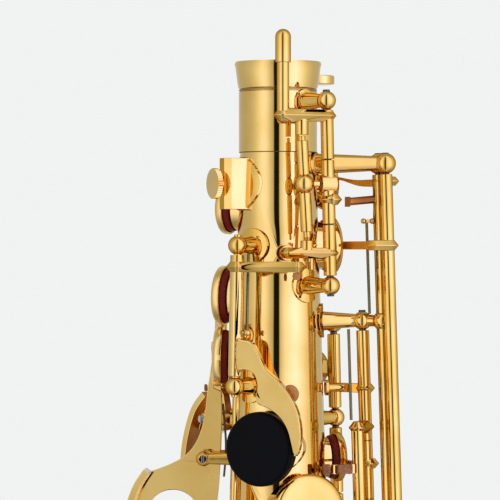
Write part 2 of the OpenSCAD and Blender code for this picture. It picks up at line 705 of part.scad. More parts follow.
module palm_eb_key() {
  k = palm_eb;
  o = hole_palm_eb;
  color(gold) difference() {
    union() {
      palm_frame(k) radial_plate(2.4) polygon([[17.4, dz(53)], [19, dz(53.4)], [19.3, dz(62)], [19.6, dz(74)],
        [20.3, dz(81)], [23.4, dz(84)], [24.8, dz(89)], [22, dz(90)], [19, dz(90)], [16.4, dz(89)],
        [15.7, dz(84)],
        [16.4, dz(80.4)], [17.4, dz(79)], [17.3, dz(62)]]);
      strip([polar(k[0], 18.2), polar(-118, 17.4), crown_xy(o) * 1.01, polar(-101, crown_r(o) + 0.2)],
        o[1], arm_w, arm_t);
      palm_barrel(k);
      palm_touch(k, [[20, dz(80.2)], [23.5, dz(84.2)], [26, dz(91)], [27, dz(98)], [26.4, dz(104)]], 9);
      at_cup(o) cup_shell(o[2]);
    }
    palm_pivot_bore(k, rod_d + 2 * run_gap);
  }
}
module palm_f_key() {
  k = palm_f;
  o = hole_palm_f;
  color(gold) difference() {
    union() {
      palm_frame(k) radial_plate(2.4) polygon([[14.2, dz(33.4)], [16.2, dz(33.4)], [16.6, dz(48)],
        [16.9, dz(60)],
        [17.6, dz(71)], [20.2, dz(76)], [21.5, dz(80.5)], [18.4, dz(81.5)], [15, dz(81)], [13, dz(79)],
        [13, dz(75)],
        [13.6, dz(62)], [14, dz(48)]]);
      strip([polar(k[0], 15.2), polar(-148, 16), polar(-130, 16.4), crown_xy(o) * 1.02,
        polar(-108, crown_r(o) + 0.3)], o[1], arm_w, arm_t);
      palm_barrel(k);
      palm_touch(k, [[17, dz(71.6)], [20, dz(75.8)], [22.4, dz(82)], [23.4, dz(89)], [22.9, dz(95)]], 9);
      at_cup(o) cup_shell(o[2]);
    }
    palm_pivot_bore(k, rod_d + 2 * run_gap);
  }
}
module palm_d_pad() {
  color(leather) at_cup(hole_palm_d) pad_disc(hole_palm_d[2]);
}
module palm_eb_pad() {
  color(leather) at_cup(hole_palm_eb) pad_disc(hole_palm_eb[2]);
}
module palm_f_pad() {
  color(leather) at_cup(hole_palm_f) pad_disc(hole_palm_f[2]);
}

// Side keys on the right

e_low = dz(202);
fs_low = dz(290);
c_low = dz(232);
bb_top = dz(117.6);
bb_low = dz(262);
guide_z = side_c_h[1];
big_ball = 5;
ball_face = ball_d / 2 - 0.2;
module side_posts() {
  f = hinge_xy(fsharp_h, guide_z);
  g = hinge_xy(side_c_h, guide_z);
  k = hinge_xy(fsharp_h, fsharp_h[1]);
  color(gold) difference() {
    union() {
      post(high_e_h, high_e_h[1], big_ball, 5.6);
      translate([k[0], k[1], fsharp_h[1]]) sphere(d = big_ball, $fn = 40);
      post(side_c_h, side_c_h[1], ball_d, foot_d);
      bar3([g[0], g[1], guide_z], [f[0], f[1], guide_z], 2.8);
      translate([f[0], f[1], guide_z]) sphere(d = big_ball, $fn = 40);
    }
    rod_hole(high_e_h, high_e_h[1] - 5, high_e_h[1] + 5);
    rod_hole(fsharp_h, fsharp_h[1] - 5, fsharp_h[1] + 5);
    rod_hole(side_c_h, side_c_h[1] - 5, side_c_h[1] + 5);
    on_hinge(fsharp_h, guide_z - 6, guide_z + 6, hinge_d + 0.14);
    on_hinge(high_e_h, guide_z - 6, guide_z + 6, hinge_d + 2 * end_gap);
  }
}
module side_posts_low() {
  color(gold) {
    post(high_e_h, e_low, ball_d, foot_d);
    post(side_c_h, c_low, ball_d, foot_d);
    post(side_bb_h, bb_top, ball_d, 6);
    post(side_bb_h, bb_low, ball_d, foot_d);
    post(fsharp_h, fs_low, ball_d, foot_d);
  }
}
// Touch plate of a side key, from its tube to a finger pad at another angle
module side_touch(h, z0, z1, a, r) {
  z = (z0 + z1) / 2;
  q = polar(a, r);
  p = hinge_xy(h, z);
  strip([p, p + (q - p) * 0.8], z, 5, arm_t);
  outward(a, z) translate([0, 0, r - 0.9]) intersection() {
    cylinder(d = z1 - z0, h = 1.8);
    translate([-4.2, -20, -1]) cube([8.4, 40, 6]);
  }
}
module high_e_key() {
  o = hole_high_e;
  h = high_e_h;
  p = hinge_xy(h, o[1]);
  q = p + [-3.6, -1.6];
  c = crown_xy(o) * 1.03;
  color(gold) difference() {
    union() {
      on_hinge(h, e_low + ball_face + end_gap, h[1] - big_ball / 2 + 0.2 - end_gap, hinge_d);
      bevel_bar(p + [0.5, -0.4], q, o[1], 4.2, 2.4);
      strip([p, q, p + [-7.4, 4], c, c + polar(o[0] + 90, 2)], o[1], arm_w * 0.75, arm_t);
      at_cup(o) cup_shell(o[2]);
      side_touch(h, dz(198), dz(178), 60, hinge_r(h, dz(188)) + 0.5);
    }
    hinge_bore(h, e_low, h[1]);
  }
}
module high_e_pad() {
  color(leather) at_cup(hole_high_e) pad_disc(hole_high_e[2]);
}
module high_fsharp_key() {
  o = hole_fsharp;
  h = fsharp_h;
  p = hinge_xy(h, o[1]);
  q = hinge_xy(h, dz(33.1));
  g = hinge_xy(h, fsharp_bead[2]);
  c = crown_xy(o) * 1.04;
  color(gold) difference() {
    union() {
      on_hinge(h, fs_low + ball_face + end_gap, h[1] - big_ball / 2 + 0.2 - end_gap, hinge_d);
      bevel_bar(p, p + [3.2, 1.7], dz(28.6), 3.5, 2.2);
      intersection() {
        strip([p, c, c + polar(o[0] + 90, 2)], o[1], arm_w * 2, arm_t);
        translate([0, 30, 0]) rotate([90, 0, 0]) linear_extrude(60) polygon(concat(
          curve([[12, dz(27.2)], [14.8, dz(27.5)], [17.3, dz(28.05)], [20, dz(28.3)], [26, dz(28.05)]], 3),
          curve([[26, dz(30)], [22, dz(29.95)], [19.6, dz(29.75)], [17.3, dz(29)], [15.2, dz(28.25)],
            [12, dz(28.1)]], 3)));
      }
      bar3([g[0], g[1], fsharp_bead[2]], fsharp_bead, 0.7);
      translate(fsharp_bead) sphere(d = 1.3, $fn = 32);
      translate(fsharp_bead + [2.17, 0.3, 0]) sphere(d = 1.4, $fn = 32);
      bar3([q[0], q[1], dz(32.9)], [16.4, -4.6, dz(33.6)], 1.9);
      translate([15.9, -5.6, dz(34.8)]) cube([1.3, 2, 2.4]);
      at_cup(o) cup_shell(o[2]);
      side_touch(h, dz(286), dz(268), 66, hinge_r(h, dz(277)) + 0.5);
    }
    hinge_bore(h, fs_low, h[1]);
  }
}
// Outer bead of the peg that the F sharp key's needle spring bears on
fsharp_bead = [20.36, -4.1, dz(38.2)];
module high_fsharp_pad() {
  color(leather) at_cup(hole_fsharp) pad_disc(hole_fsharp[2]);
}
module side_c_key() {
  o = hole_side_c;
  h = side_c_h;
  zb = dz(87.4);
  b = hinge_xy(h, zb);
  n = [18.9, -6.2];
  zr = dz(140);
  w = [20.4, -6.6];
  color(gold) difference() {
    union() {
      on_hinge(h, c_low + ball_face + end_gap, h[1] - ball_face - end_gap, hinge_d);
      bevel_bar(b, n, zb, 4.4, 3);
      bar3([n[0], n[1], zb], [w[0], w[1], zr], hinge_d);
      bevel_bar(hinge_xy(h, zr), w, zr, 4.4, 3);
      bevel_bar(hinge_xy(h, dz(78.2)), hinge_xy(h, dz(78.2)) + [0.6, 0.6], dz(78.2), 4, 2.2);
      strip([hinge_xy(h, dz(78.2)), polar(100, tube_r(dz(78)) + 5), polar(112, tube_r(dz(78)) + 2.6)],
        dz(78.2), 2.2, 1.5);
      bevel_bar(hinge_xy(h, dz(96.2)), hinge_xy(h, dz(96.2)) + [0.9, 0], dz(96.2), 4.2, 2.4);
      strip([[19, -6.2], [16.5, 1.6], crown_xy(o) * 1.03, polar(110, crown_r(o) + 0.4)], dz(96.8), 2.4, 1.5);
      at_cup(o) cup_shell(o[2]);
      side_touch(h, dz(228), dz(208), 66, hinge_r(h, dz(218)) + 4);
      strip([[19.2, -6.3], [12.72, -9.1]], stop_z, 2.2, 1.4);
      outward(98, dz(78.2)) translate([0, 0, tube_r(dz(78.2)) + 0.6]) {
        cylinder(d = 3.8, h = 0.8, $fn = 40);
        cylinder(d = 1.8, h = 4.6, $fn = 32);
      }
    }
    hinge_bore(h, c_low, h[1]);
    for (d = [90.6, 104.6]) difference() {
      on_hinge(h, dz(d + 0.18), dz(d), hinge_d + 1);
      on_hinge(h, dz(d + 1), dz(d - 1), hinge_d - 0.24);
    }
  }
  color(cork) {
    translate([10.4, -9.95, stop_z - 1.2]) cube([1.98, 1.6, 2.4]);
    for (i = [0 : 3]) translate([14.5 + 0.85 * i, -9.74 + 0.367 * i, stop_z - 1.2])
      cylinder(d = 1.1, h = 2.4, $fn = 24);
  }
}
// Height of the side C key's cork stop
stop_z = dz(97.1);
module side_c_pad() {
  color(leather) at_cup(hole_side_c) pad_disc(hole_side_c[2]);
}
module side_bb_key() {
  o = hole_side_bb;
  h = side_bb_h;
  z = dz(122.4);
  p = hinge_xy(h, z);
  c = crown_xy(o) * 1.02;
  color(gold) difference() {
    union() {
      on_hinge(h, bb_low + ball_face + end_gap, bb_top - ball_face - end_gap, hinge_d);
      strip([p, polar(46, crown_r(o) + 3), polar(30, crown_r(o) + 0.4), polar(24, crown_r(o) + 0.3)],
        z, 3, arm_t);
      translate([c[0], c[1], 0]) rotate([0, 0, o[0]]) translate([-1.5, -0.75, z - 1.5]) cube([3, 1.6, 15]);
      at_cup(o) cup_shell(o[2]);
      side_touch(h, dz(258), dz(238), 76, hinge_r(h, dz(248)) + 0.6);
    }
    hinge_bore(h, bb_low, bb_top);
  }
  color(leather) at_cup(o) pad_disc(o[2]);
}

// Stack keys on the front

pearl_d = 9;
module stack_key(h, o, z0, z1, turn, pearl_size) {
  color(gold) swing(h, turn) {
    stack_body(h, o, z0, z1);
    if (pearl_size > 0) pearl_cup(o, pearl_size);
  }
  if (pearl_size > 0) color(pearl) swing(h, turn) pearl_disc(o, pearl_size);
}
tube_gap = end_gap + 0.1;
module front_f_lever() {
  h = upper_h;
  z = dz(74);
  p = hinge_xy(h, z);
  q = polar(156, hinge_r(h, z) + 1);
  color(gold) difference() {
    union() {
      on_hinge(h, dz(83.6), dz(65.6), hinge_d);
      strip([p, p + (q - p) * 0.8], z, 4, arm_t);
      outward(156, z) translate([0, 0, hinge_r(h, z) - 0.4]) cylinder(d = 9.6, h = 1.8);
    }
    hinge_bore(h, dz(84), dz(65));
  }
}
module c_vent_key() {
  stack_key(upper_h, hole_vent, dz(104.3), dz(88.5), -stack_open, 0);
}
module b_key() {
  stack_key(upper_h, hole_b, dz(124.3), dz(104.3 + tube_gap), -stack_open, pearl_d);
}
module bis_key() {
  stack_key(upper_h, hole_bis, dz(145.3), dz(124.3 + tube_gap), -stack_open, 5);
}
module a_key() {
  stack_key(upper_h, hole_a, dz(169.3), dz(145.3 + tube_gap), -stack_open, pearl_d);
}
module g_key() {
  stack_key(upper_h, hole_g, dz(196.3), dz(169.3 + tube_gap), -stack_open, pearl_d);
}
module gsharp_key() {
  h = gsharp_h;
  z0 = dz(226.4);
  z1 = dz(194.6);
  color(gold) {
    stack_body(h, hole_gsharp, z0, z1);
    difference() {
      side_touch(h, dz(224), dz(210), -98, hinge_r(h, dz(217)) + 0.6);
      on_hinge(h, z0, z1, hinge_d);
    }
  }
}
module fsharp_key() {
  stack_key(lower_h, hole_low_fs, dz(251.3), dz(225.6), -stack_open, 0);
}
module f_key() {
  stack_key(lower_h, hole_low_f, dz(281.3), dz(251.3 + tube_gap), -stack_open, pearl_d);
}
module e_key() {
  stack_key(lower_h, hole_low_e, dz(313.3), dz(281.3 + tube_gap), -stack_open, pearl_d);
}
module d_key() {
  stack_key(lower_h, hole_low_d, dz(d_post - 2.6), dz(313.3 + tube_gap), -stack_open, pearl_d);
}
module stack_posts() {
  color(gold) {
    for (d = [63, 86, 198.9]) post(upper_h, dz(d), ball_d, 6.6);
    for (d = [223, d_post]) post(lower_h, dz(d), ball_d, foot_d);
    for (d = [192, 229]) post(gsharp_h, dz(d), ball_d, 6.6);
  }
}

// Low keys

// A key with a long tube and a touch plate, drawn shut and turned
module low_key(h, o, z0, z1, turn, ta, tz0, tz1, lift) {
  color(gold) swing(h, turn) {
    stack_body(h, o, z0, z1);
    difference() {
      side_touch(h, tz0, tz1, ta, hinge_r(h, (tz0 + tz1) / 2) + lift);
      on_hinge(h, z0, z1, hinge_d);
    }
  }
}
module eb_key() {
  low_key(eb_h, hole_low_eb, dz(375.4), dz(eb_post + 2.6), 0, 147, dz(373), dz(358), 0.8);
}
module low_c_key() {
  low_key(low_c_h, hole_low_c, dz(415.4), dz(386.6), -low_open, 152, dz(397), dz(387), 3.2);
}
module low_csharp_key() {
  low_key(low_cs_h, hole_low_cs, dz(438.4), dz(242.6), 0, -38, dz(264), dz(246), 0.6);
}
module low_b_key() {
  low_key(low_b_h, hole_low_b, 76.6, dz(244.6), low_open, -140, dz(268), dz(250), 0.8);
}
module low_bb_key() {
  low_key(low_bb_h, hole_low_bb, 35.6, dz(248.6), low_open, -38, dz(290), dz(272), 0.8);
}
module bell_solid(grow) {
  heights = [for (i = [0 : 14]) flare_h * i / 14];
  rotate_extrude($fn = 96) polygon(concat([[0, 0]], [for (z = heights) [bell_r(z) + grow, z]],
    [[tube_r(body_h) + grow, body_h], [0, body_h]]));
}
module low_posts() {
  color(gold) {
    for (d = [eb_post, 378]) post(eb_h, dz(d), ball_d, 6);
    for (d = [384, 418]) post(low_c_h, dz(d), ball_d, 6);
    for (d = [240, 441]) post(low_cs_h, dz(d), ball_d, 6);
  }
}
module bell_posts() {
  color(gold) {
    for (z = [74, dz(242)]) post(low_b_h, z, ball_d, foot_d);
    for (z = [33, dz(246)]) post(low_bb_h, z, ball_d, foot_d);
  }
}
function guard_r(o) = crown_r(o) + 8;
module guard_frame(o) {
  g = cup_r(o[2]) + 3.2;
  s = tube_r(o[1]);
  rotate([0, 0, o[0]]) radial_plate(5) polygon(ribbon(curve([[s - 3, o[1] + g], [s + 5, o[1] + g],
    [guard_r(o) - 1, o[1] + g - 3],
    [guard_r(o) + 2.4, o[1] + g * 0.45], [guard_r(o) + 3, o[1]], [guard_r(o) + 2.4, o[1] - g * 0.45],
    [guard_r(o) - 1, o[1] - g + 3], [s + 5, o[1] - g], [s - 3, o[1] - g]], 3), 2.2));
}
module key_guards() {
  color(gold) difference() {
    for (o = [hole_low_c, hole_low_b, hole_low_bb]) guard_frame(o);
    bell_solid(0);
  }
}
module guard_felts() {
  color(felt) for (o = [hole_low_c, hole_low_b, hole_low_bb]) rotate([0, 0, o[0]])
    translate([0, 0, o[1]]) rotate([90, 0, 0])
    translate([0, 0, guard_r(o) - 0.6]) cylinder(d = 4.6, h = 2.4);
}

// Steel

module hinge_rods() {
  e = ball_d / 2 + 0.3;
  color(steel) {
    on_hinge(oct_h, oct_low - e, oct_top + e, rod_d);
    on_hinge(thumb_h, thumb_low - e, thumb_top + e, rod_d);
    on_hinge(link_h, link_low - e, link_top + e, rod_d);
    on_hinge(high_e_h, e_low - e, high_e_h[1] + e, rod_d);
    on_hinge(fsharp_h, fs_low - e, fsharp_h[1] + e, rod_d);
    on_hinge(side_c_h, c_low - e, side_c_h[1] + e, rod_d);
    on_hinge(side_bb_h, bb_low - e, bb_top + e, rod_d);
    on_hinge(upper_h, dz(198.9) - e, dz(63) + e, rod_d);
    on_hinge(lower_h, dz(d_post) - e, dz(223) + e, rod_d);
    on_hinge(gsharp_h, dz(229) - e, dz(192) + e, rod_d);
    on_hinge(eb_h, dz(378) - e, dz(eb_post) + e, rod_d);
    on_hinge(low_c_h, dz(418) - e, dz(384) + e, rod_d);
    on_hinge(low_cs_h, dz(441) - e, dz(240) + e, rod_d);
    on_hinge(low_b_h, 74 - e, dz(242) + e, rod_d);
    on_hinge(low_bb_h, 33 - e, dz(246) + e, rod_d);
  }
}
module needle_springs() {
  color(steel) {
    bar3([-7.1, -9.1, thumb_top - 2], [-7.5, -12.1, dz(65)], 0.7);
    bar3([21.9, -2.4, guide_z + 1.6], [21.2, -2.2, dz(38.6)], 0.7);
    bar3([16.9, -1.3, guide_z - 2.1], [17.4, -5.4, dz(85.6)], 0.7);
  }
}

body_tube();
neck_receiver();
bell();
bell_ring();
lyre_holder();
octave_pip();
octave_posts();
palm_posts();
side_posts();
side_posts_low();
stack_posts();
low_posts();
bell_posts();
hinge_rods();
palm_pivots();
needle_springs();
rest_base();
thumb_rest();
thumb_hook();
strap_ring();
key_guards();
guard_felts();
clamp_screw();
lyre_screw();
octave_thumb_lever();
octave_carrier();
octave_rocker();
octave_neck_lever();
octave_body_lever();
palm_d_key();
palm_eb_key();
palm_f_key();
high_e_key();
high_fsharp_key();
side_c_key();
side_bb_key();
front_f_lever();
c_vent_key();
b_key();
bis_key();
a_key();
g_key();
gsharp_key();
fsharp_key();
f_key();
e_key();
d_key();
eb_key();
low_c_key();
low_csharp_key();
low_b_key();
low_bb_key();
palm_d_pad();
palm_eb_pad();
palm_f_pad();
high_e_pad();
high_fsharp_pad();
side_c_pad();
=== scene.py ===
# Straight soprano saxophone body, standing on its bell with the neck taken off. The solids come from the
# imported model; this file gives them their finish, forms the soft pieces and sets the studio. Metres, Z up.
import math

import bmesh
import bpy
import numpy as np
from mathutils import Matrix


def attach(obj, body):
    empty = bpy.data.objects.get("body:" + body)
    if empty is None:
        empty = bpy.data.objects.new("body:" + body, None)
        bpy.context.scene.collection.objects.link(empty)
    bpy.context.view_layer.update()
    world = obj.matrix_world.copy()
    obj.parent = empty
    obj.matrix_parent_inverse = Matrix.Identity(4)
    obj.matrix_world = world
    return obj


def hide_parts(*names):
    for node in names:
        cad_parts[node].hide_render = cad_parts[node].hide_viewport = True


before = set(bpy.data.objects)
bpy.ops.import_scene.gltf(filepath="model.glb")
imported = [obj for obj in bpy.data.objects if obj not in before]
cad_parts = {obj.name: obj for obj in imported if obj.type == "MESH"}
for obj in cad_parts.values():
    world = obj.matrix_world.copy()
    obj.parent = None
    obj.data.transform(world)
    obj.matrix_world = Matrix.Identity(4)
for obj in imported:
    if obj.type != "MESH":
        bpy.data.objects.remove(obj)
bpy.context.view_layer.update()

# Studio: a pale room with a tall soft box on each side of the lens and a narrow dark gap between them.
# The gap is what draws the thin black line down every polished tube.
# The camera looks level at the thumb side.
LENS_PLACE = (-0.00672, -0.737, 0.5149)
FOCAL_LENGTH_MM = 221.0
SENSOR_WIDTH_MM = 36.0
SCENE = bpy.context.scene
SCENE.view_settings.view_transform = "Standard"
lens = bpy.data.cameras.new("lens")
lens.lens = FOCAL_LENGTH_MM
lens.sensor_width = SENSOR_WIDTH_MM
lens.clip_start = 0.05
lens.clip_end = 60.0
camera = bpy.data.objects.new("camera", lens)
camera.location = LENS_PLACE
camera.rotation_euler = (math.pi / 2, 0.0, 0.0)
SCENE.collection.objects.link(camera)
SCENE.camera = camera


def feed(node, inputs):
    """Sets inputs of a node, each to a value or by a link from another node's output."""
    for key, value in inputs.items():
        if isinstance(value, bpy.types.NodeSocket):
            node.id_data.links.new(value, node.inputs[key])
        else:
            node.inputs[key].default_value = value


def node_maker(tree):
    """Short form for adding a node to a tree with its settings and its inputs."""
    def make(kind, inputs=None, **settings):
        node = tree.nodes.new(kind)
        for key, value in settings.items():
            setattr(node, key, value)
        feed(node, inputs or {})
        return node
    return make


def ramp(make, fac, stops):
    """Colour ramp of grey levels or colours at the given places from 0 to 1."""
    node = make("ShaderNodeValToRGB", {"Fac": fac})
    elements = node.color_ramp.elements
    while len(elements) < len(stops):
        elements.new(0.5)
    for element, (place, level) in zip(elements, stops):
        element.position = place
        element.color = (*level, 1.0) if isinstance(level, tuple) else (level, level, level, 1.0)
    return node


# Light level of the room by compass angle from the lens, in degrees, left of it negative.
# Blue follows the level by a power, so the panels above full light are a little bluer than the rest.
ROOM_LEVELS = [(-180, 0.62), (-135, 0.53), (-112, 0.53), (-88, 0.62), (-73, 0.76), (-60, 0.98),
               (-45, 1.22), (-33, 1.08), (-22, 0.76), (-14, 0.56), (-11.2, 0.012), (2.4, 0.01),
               (4.2, 0.66), (9, 0.84), (19, 1.16), (30, 1.32), (44, 1.46), (54, 1.42),
               (64, 1.26), (78, 1.0), (92, 0.78), (112, 0.6), (140, 0.53), (180, 0.62)]
DIM_BLUE_POWER = 1.1
BRIGHT_BLUE_POWER = 2.3
# Share of that light by how far a ray looks up, from 0 straight down to 1 straight up.
TILT_LEVELS = [(0.0, 0.5), (0.1, 0.62), (0.26, 0.95), (0.4, 1.0),
               (0.64, 1.0), (0.8, 0.95), (0.92, 0.85), (1.0, 0.75)]
BACKDROP = (0.875, 0.893, 0.886, 1.0)
FULL_TURN = 2 * math.pi
world = bpy.data.worlds.new("room")
SCENE.world = world
world.use_nodes = True
world.node_tree.nodes.clear()
make = node_maker(world.node_tree)
look = make("ShaderNodeTexCoord").outputs["Generated"]
axes = make("ShaderNodeSeparateXYZ", {0: look})
away = make("ShaderNodeMath", {0: axes.outputs["Y"], 1: -1.0}, operation="MULTIPLY")
compass = make("ShaderNodeMath", {0: axes.outputs["X"], 1: away.outputs[0]}, operation="ARCTAN2")
turn = make("ShaderNodeMath", {0: compass.outputs[0], 1: 1 / FULL_TURN, 2: 0.5}, operation="MULTIPLY_ADD")
panels = [(angle / 360 + 0.5, (light, light, max(light ** DIM_BLUE_POWER, light ** BRIGHT_BLUE_POWER)))
          for angle, light in ROOM_LEVELS]
around = ramp(make, turn.outputs[0], panels)
tilt = make("ShaderNodeMath", {0: axes.outputs["Z"], 1: 0.5, 2: 0.5}, operation="MULTIPLY_ADD")
height = ramp(make, tilt.outputs[0], TILT_LEVELS)
level = make("ShaderNodeMix", {0: 1.0, 6: around.outputs[0], 7: height.outputs[0]},
             data_type="RGBA", blend_type="MULTIPLY")
room = make("ShaderNodeBackground", {"Color": level.outputs[2], "Strength": 1.0})
plain = make("ShaderNodeBackground", {"Color": BACKDROP, "Strength": 1.0})
seen = make("ShaderNodeLightPath").outputs["Is Camera Ray"]
both = make("ShaderNodeMixShader", {0: seen, 1: room.outputs[0], 2: plain.outputs[0]})
make("ShaderNodeOutputWorld", {"Surface": both.outputs[0]})

# Floor: a round sheet of pale paper, faintly flecked, that the bell stands on.
# It lies a hair under the rim, and the polished metal does not mirror it.
FLOOR_RADIUS = 4.5
FLOOR_RINGS = np.array([0.0, 0.05, 0.15, 0.4, 1.0])
FLOOR_SPOKES = 96
FLOOR_DROP = 0.0004
SAME_PLACE = 1e-7


def grid_piece(name, points, material, closed_rows=False):
    """Smooth object at the origin from a grid of points, rows x columns x 3, with its faces turned outwards.
    Each row is a ring; closed_rows also joins the last row to the first."""
    rows, columns = points.shape[:2]
    i, j = np.meshgrid(np.arange(rows if closed_rows else rows - 1), np.arange(columns), indexing="ij")
    below = (i + 1) % rows
    beside = (j + 1) % columns
    quads = np.stack([i * columns + j, i * columns + beside,
                      below * columns + beside, below * columns + j], -1)
    mesh = bpy.data.meshes.new(name)
    mesh.from_pydata(points.reshape(-1, 3).tolist(), [], quads.reshape(-1, 4).tolist())
    work = bmesh.new()
    work.from_mesh(mesh)
    bmesh.ops.remove_doubles(work, verts=work.verts, dist=SAME_PLACE)
    bmesh.ops.recalc_face_normals(work, faces=work.faces)
    work.to_mesh(mesh)
    work.free()
    mesh.polygons.foreach_set("use_smooth", np.ones(len(mesh.polygons), bool))
    mesh.materials.append(material)
    piece = bpy.data.objects.new(name, mesh)
    SCENE.collection.objects.link(piece)
    return piece


def new_material(name):
    """Material with the maker of its nodes and its Principled surface."""
    material = bpy.data.materials.new(name)
    material.use_nodes = True
    return material, node_maker(material.node_tree), material.node_tree.nodes["Principled BSDF"]


paper, make, skin = new_material("pale_paper")
where = make("ShaderNodeTexCoord").outputs["Object"]
fleck = make("ShaderNodeTexNoise", {"Vector": where, "Scale": 900.0, "Detail": 3.0})
tone = ramp(make, fleck.outputs["Fac"], [(0.3, (0.88, 0.88, 0.86)), (0.7, (0.93, 0.93, 0.91))])
feed(skin, {"Base Color": tone.outputs[0], "Roughness": 0.9})
spoke = np.linspace(0, FULL_TURN, FLOOR_SPOKES + 1)[:-1]
reach = FLOOR_RADIUS * FLOOR_RINGS[:, None]
floor_points = np.stack([reach * np.cos(spoke), reach * np.sin(spoke), reach * 0 * spoke - FLOOR_DROP], -1)
floor = grid_piece("floor", floor_points, paper)
floor.visible_glossy = False

# Lamps: two large soft panels in front, the brighter one on the right, both aimed at the upper body.
# Only the matt pieces and the floor need them: the metal mirrors the room and not the panels.
PANELS = (("panel_right", (0.9, -1.1, 1.3), 14.0), ("panel_left", (-1.2, -0.8, 1.1), 9.0))
PANEL_SIZE = 1.2
PANEL_TARGET = np.array([0.0, 0.0, 0.45])
for name, place, power in PANELS:
    lamp = bpy.data.lights.new(name, "AREA")
    lamp.size = PANEL_SIZE
    lamp.energy = power
    lamp.specular_factor = 0.0
    holder = bpy.data.objects.new(name, lamp)
    holder.location = place
    aim = PANEL_TARGET - np.array(place)
    dip = math.acos(aim[2] / np.linalg.norm(aim)) - math.pi
    holder.rotation_euler = (dip, 0.0, math.atan2(aim[1], aim[0]) - math.pi / 2)
    holder.visible_camera = False
    holder.visible_glossy = False
    SCENE.collection.objects.link(holder)

# Gold lacquer: clear lacquer baked over buffed brass, the finish of the body and of the broad key plates.
# The buffing leaves faint streaks in the gloss, and the lacquer is a shade deeper where it lay thicker.
CLOUD_SCALE = 90.0
STREAK_FINENESS = 9.0
STREAK_STRETCH = (1.0, 1.0, 0.12)
STREAK_DEPTH = 0.00002


def number_group(name, inputs, outputs):
    """New node group whose inputs and outputs are plain numbers, with the maker of its nodes."""
    group = bpy.data.node_groups.new(name, "ShaderNodeTree")
    for socket in inputs:
        group.interface.new_socket(name=socket, in_out="INPUT", socket_type="NodeSocketFloat")
    for socket in outputs:
        group.interface.new_socket(name=socket, in_out="OUTPUT", socket_type="NodeSocketFloat")
    return group, node_maker(group)


polish, make = number_group("polish_marks", ("Scale", "Smooth", "Rough"), ("Cloud", "Roughness", "Height"))
given = make("NodeGroupInput").outputs
where = make("ShaderNodeTexCoord").outputs["Object"]
cloud = make("ShaderNodeTexNoise", {"Vector": where, "Scale": given["Scale"], "Detail": 3.0})
fine = make("ShaderNodeMath", {0: given["Scale"], 1: STREAK_FINENESS}, operation="MULTIPLY")
drawn_out = make("ShaderNodeMapping", {"Vector": where, "Scale": STREAK_STRETCH})
streak = make("ShaderNodeTexNoise", {"Vector": drawn_out.outputs[0], "Scale": fine.outputs[0], "Detail": 4.0})
mixed = make("ShaderNodeMath", {0: cloud.outputs["Fac"], 1: streak.outputs["Fac"]}, operation="MULTIPLY")
rough = make("ShaderNodeMapRange", {"Value": mixed.outputs[0], "From Min": 0.15, "From Max": 0.4,
                                    "To Min": given["Smooth"], "To Max": given["Rough"]})
make("NodeGroupOutput", {"Cloud": cloud.outputs["Fac"], "Roughness": rough.outputs[0],
                         "Height": streak.outputs["Fac"]})


def metal(name, light, deep, smooth, rough, coat, bump):
    """Polished metal: colour from deep to light with slow clouding, streaked gloss, and a clear coat."""
    material, make, skin = new_material(name)
    gloss = {"Scale": CLOUD_SCALE, "Smooth": smooth, "Rough": rough}
    marks = make("ShaderNodeGroup", gloss, node_tree=polish)
    shade = ramp(make, marks.outputs["Cloud"], [(0.35, deep), (0.6, light)])
    dent = make("ShaderNodeBump", {"Height": marks.outputs["Height"], "Strength": bump,
                                   "Distance": STREAK_DEPTH})
    feed(skin, {"Base Color": shade.outputs[0], "Roughness": marks.outputs["Roughness"],
                "Normal": dent.outputs[0], "Metallic": 1.0, "Coat Weight": coat, "Coat Roughness": 0.02})
    return material


lacquer = metal("gold_lacquer", light=(0.92, 0.645, 0.215), deep=(0.86, 0.56, 0.15),
                smooth=0.03, rough=0.07, coat=0.4, bump=0.02)

# Body: the long conical tube with its drawn tone holes, the flared bell, and the ring over their seam.
# All are spun or drawn from sheet brass, soldered together and lacquered as one.
MERGE_WITHIN = 2e-6
SHARP_ANGLE = math.radians(32.0)
OFF_RING = 0.045
TINY = 1e-12


def values(items, name, width=1, kind=float):
    """One property of all vertices, edges, faces or corners of a mesh, an array with a row for a vector."""
    array = np.empty(len(items) * width, kind)
    items.foreach_get(name, array)
    return array.reshape(-1, width) if width > 1 else array


def solids(node):
    """Corners, triangles and each triangle's solid, numbered from the biggest, of a CAD node. Doubled corners
    are merged, then each takes the lowest number among its neighbours until a solid has only one."""
    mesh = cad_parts[node].data
    points = values(mesh.vertices, "co", 3)
    corner = values(mesh.loops, "vertex_index", 1, np.int64)
    cell = np.round(points / MERGE_WITHIN)
    _, first, same = np.unique(cell, axis=0, return_index=True, return_inverse=True)
    faces = same.ravel()[corner.reshape(-1, 3)]
    points = points[first]
    faces = faces[(faces != np.roll(faces, 1, 1)).all(1)]
    label = np.arange(len(points))
    while True:
        lowest = label[faces].min(1)
        new = label.copy()
        for k in range(3):
            np.minimum.at(new, faces[:, k], lowest)
        new = new[new]
        if (new == label).all():
            break
        label = new
    number = np.unique(label[faces[:, 0]], return_inverse=True)[1]
    a, b, c = (points[faces[:, k]] for k in range(3))
    area = np.bincount(number, np.linalg.norm(np.cross(b - a, c - a), axis=1))
    return points, faces, np.argsort(np.argsort(-area))[number]


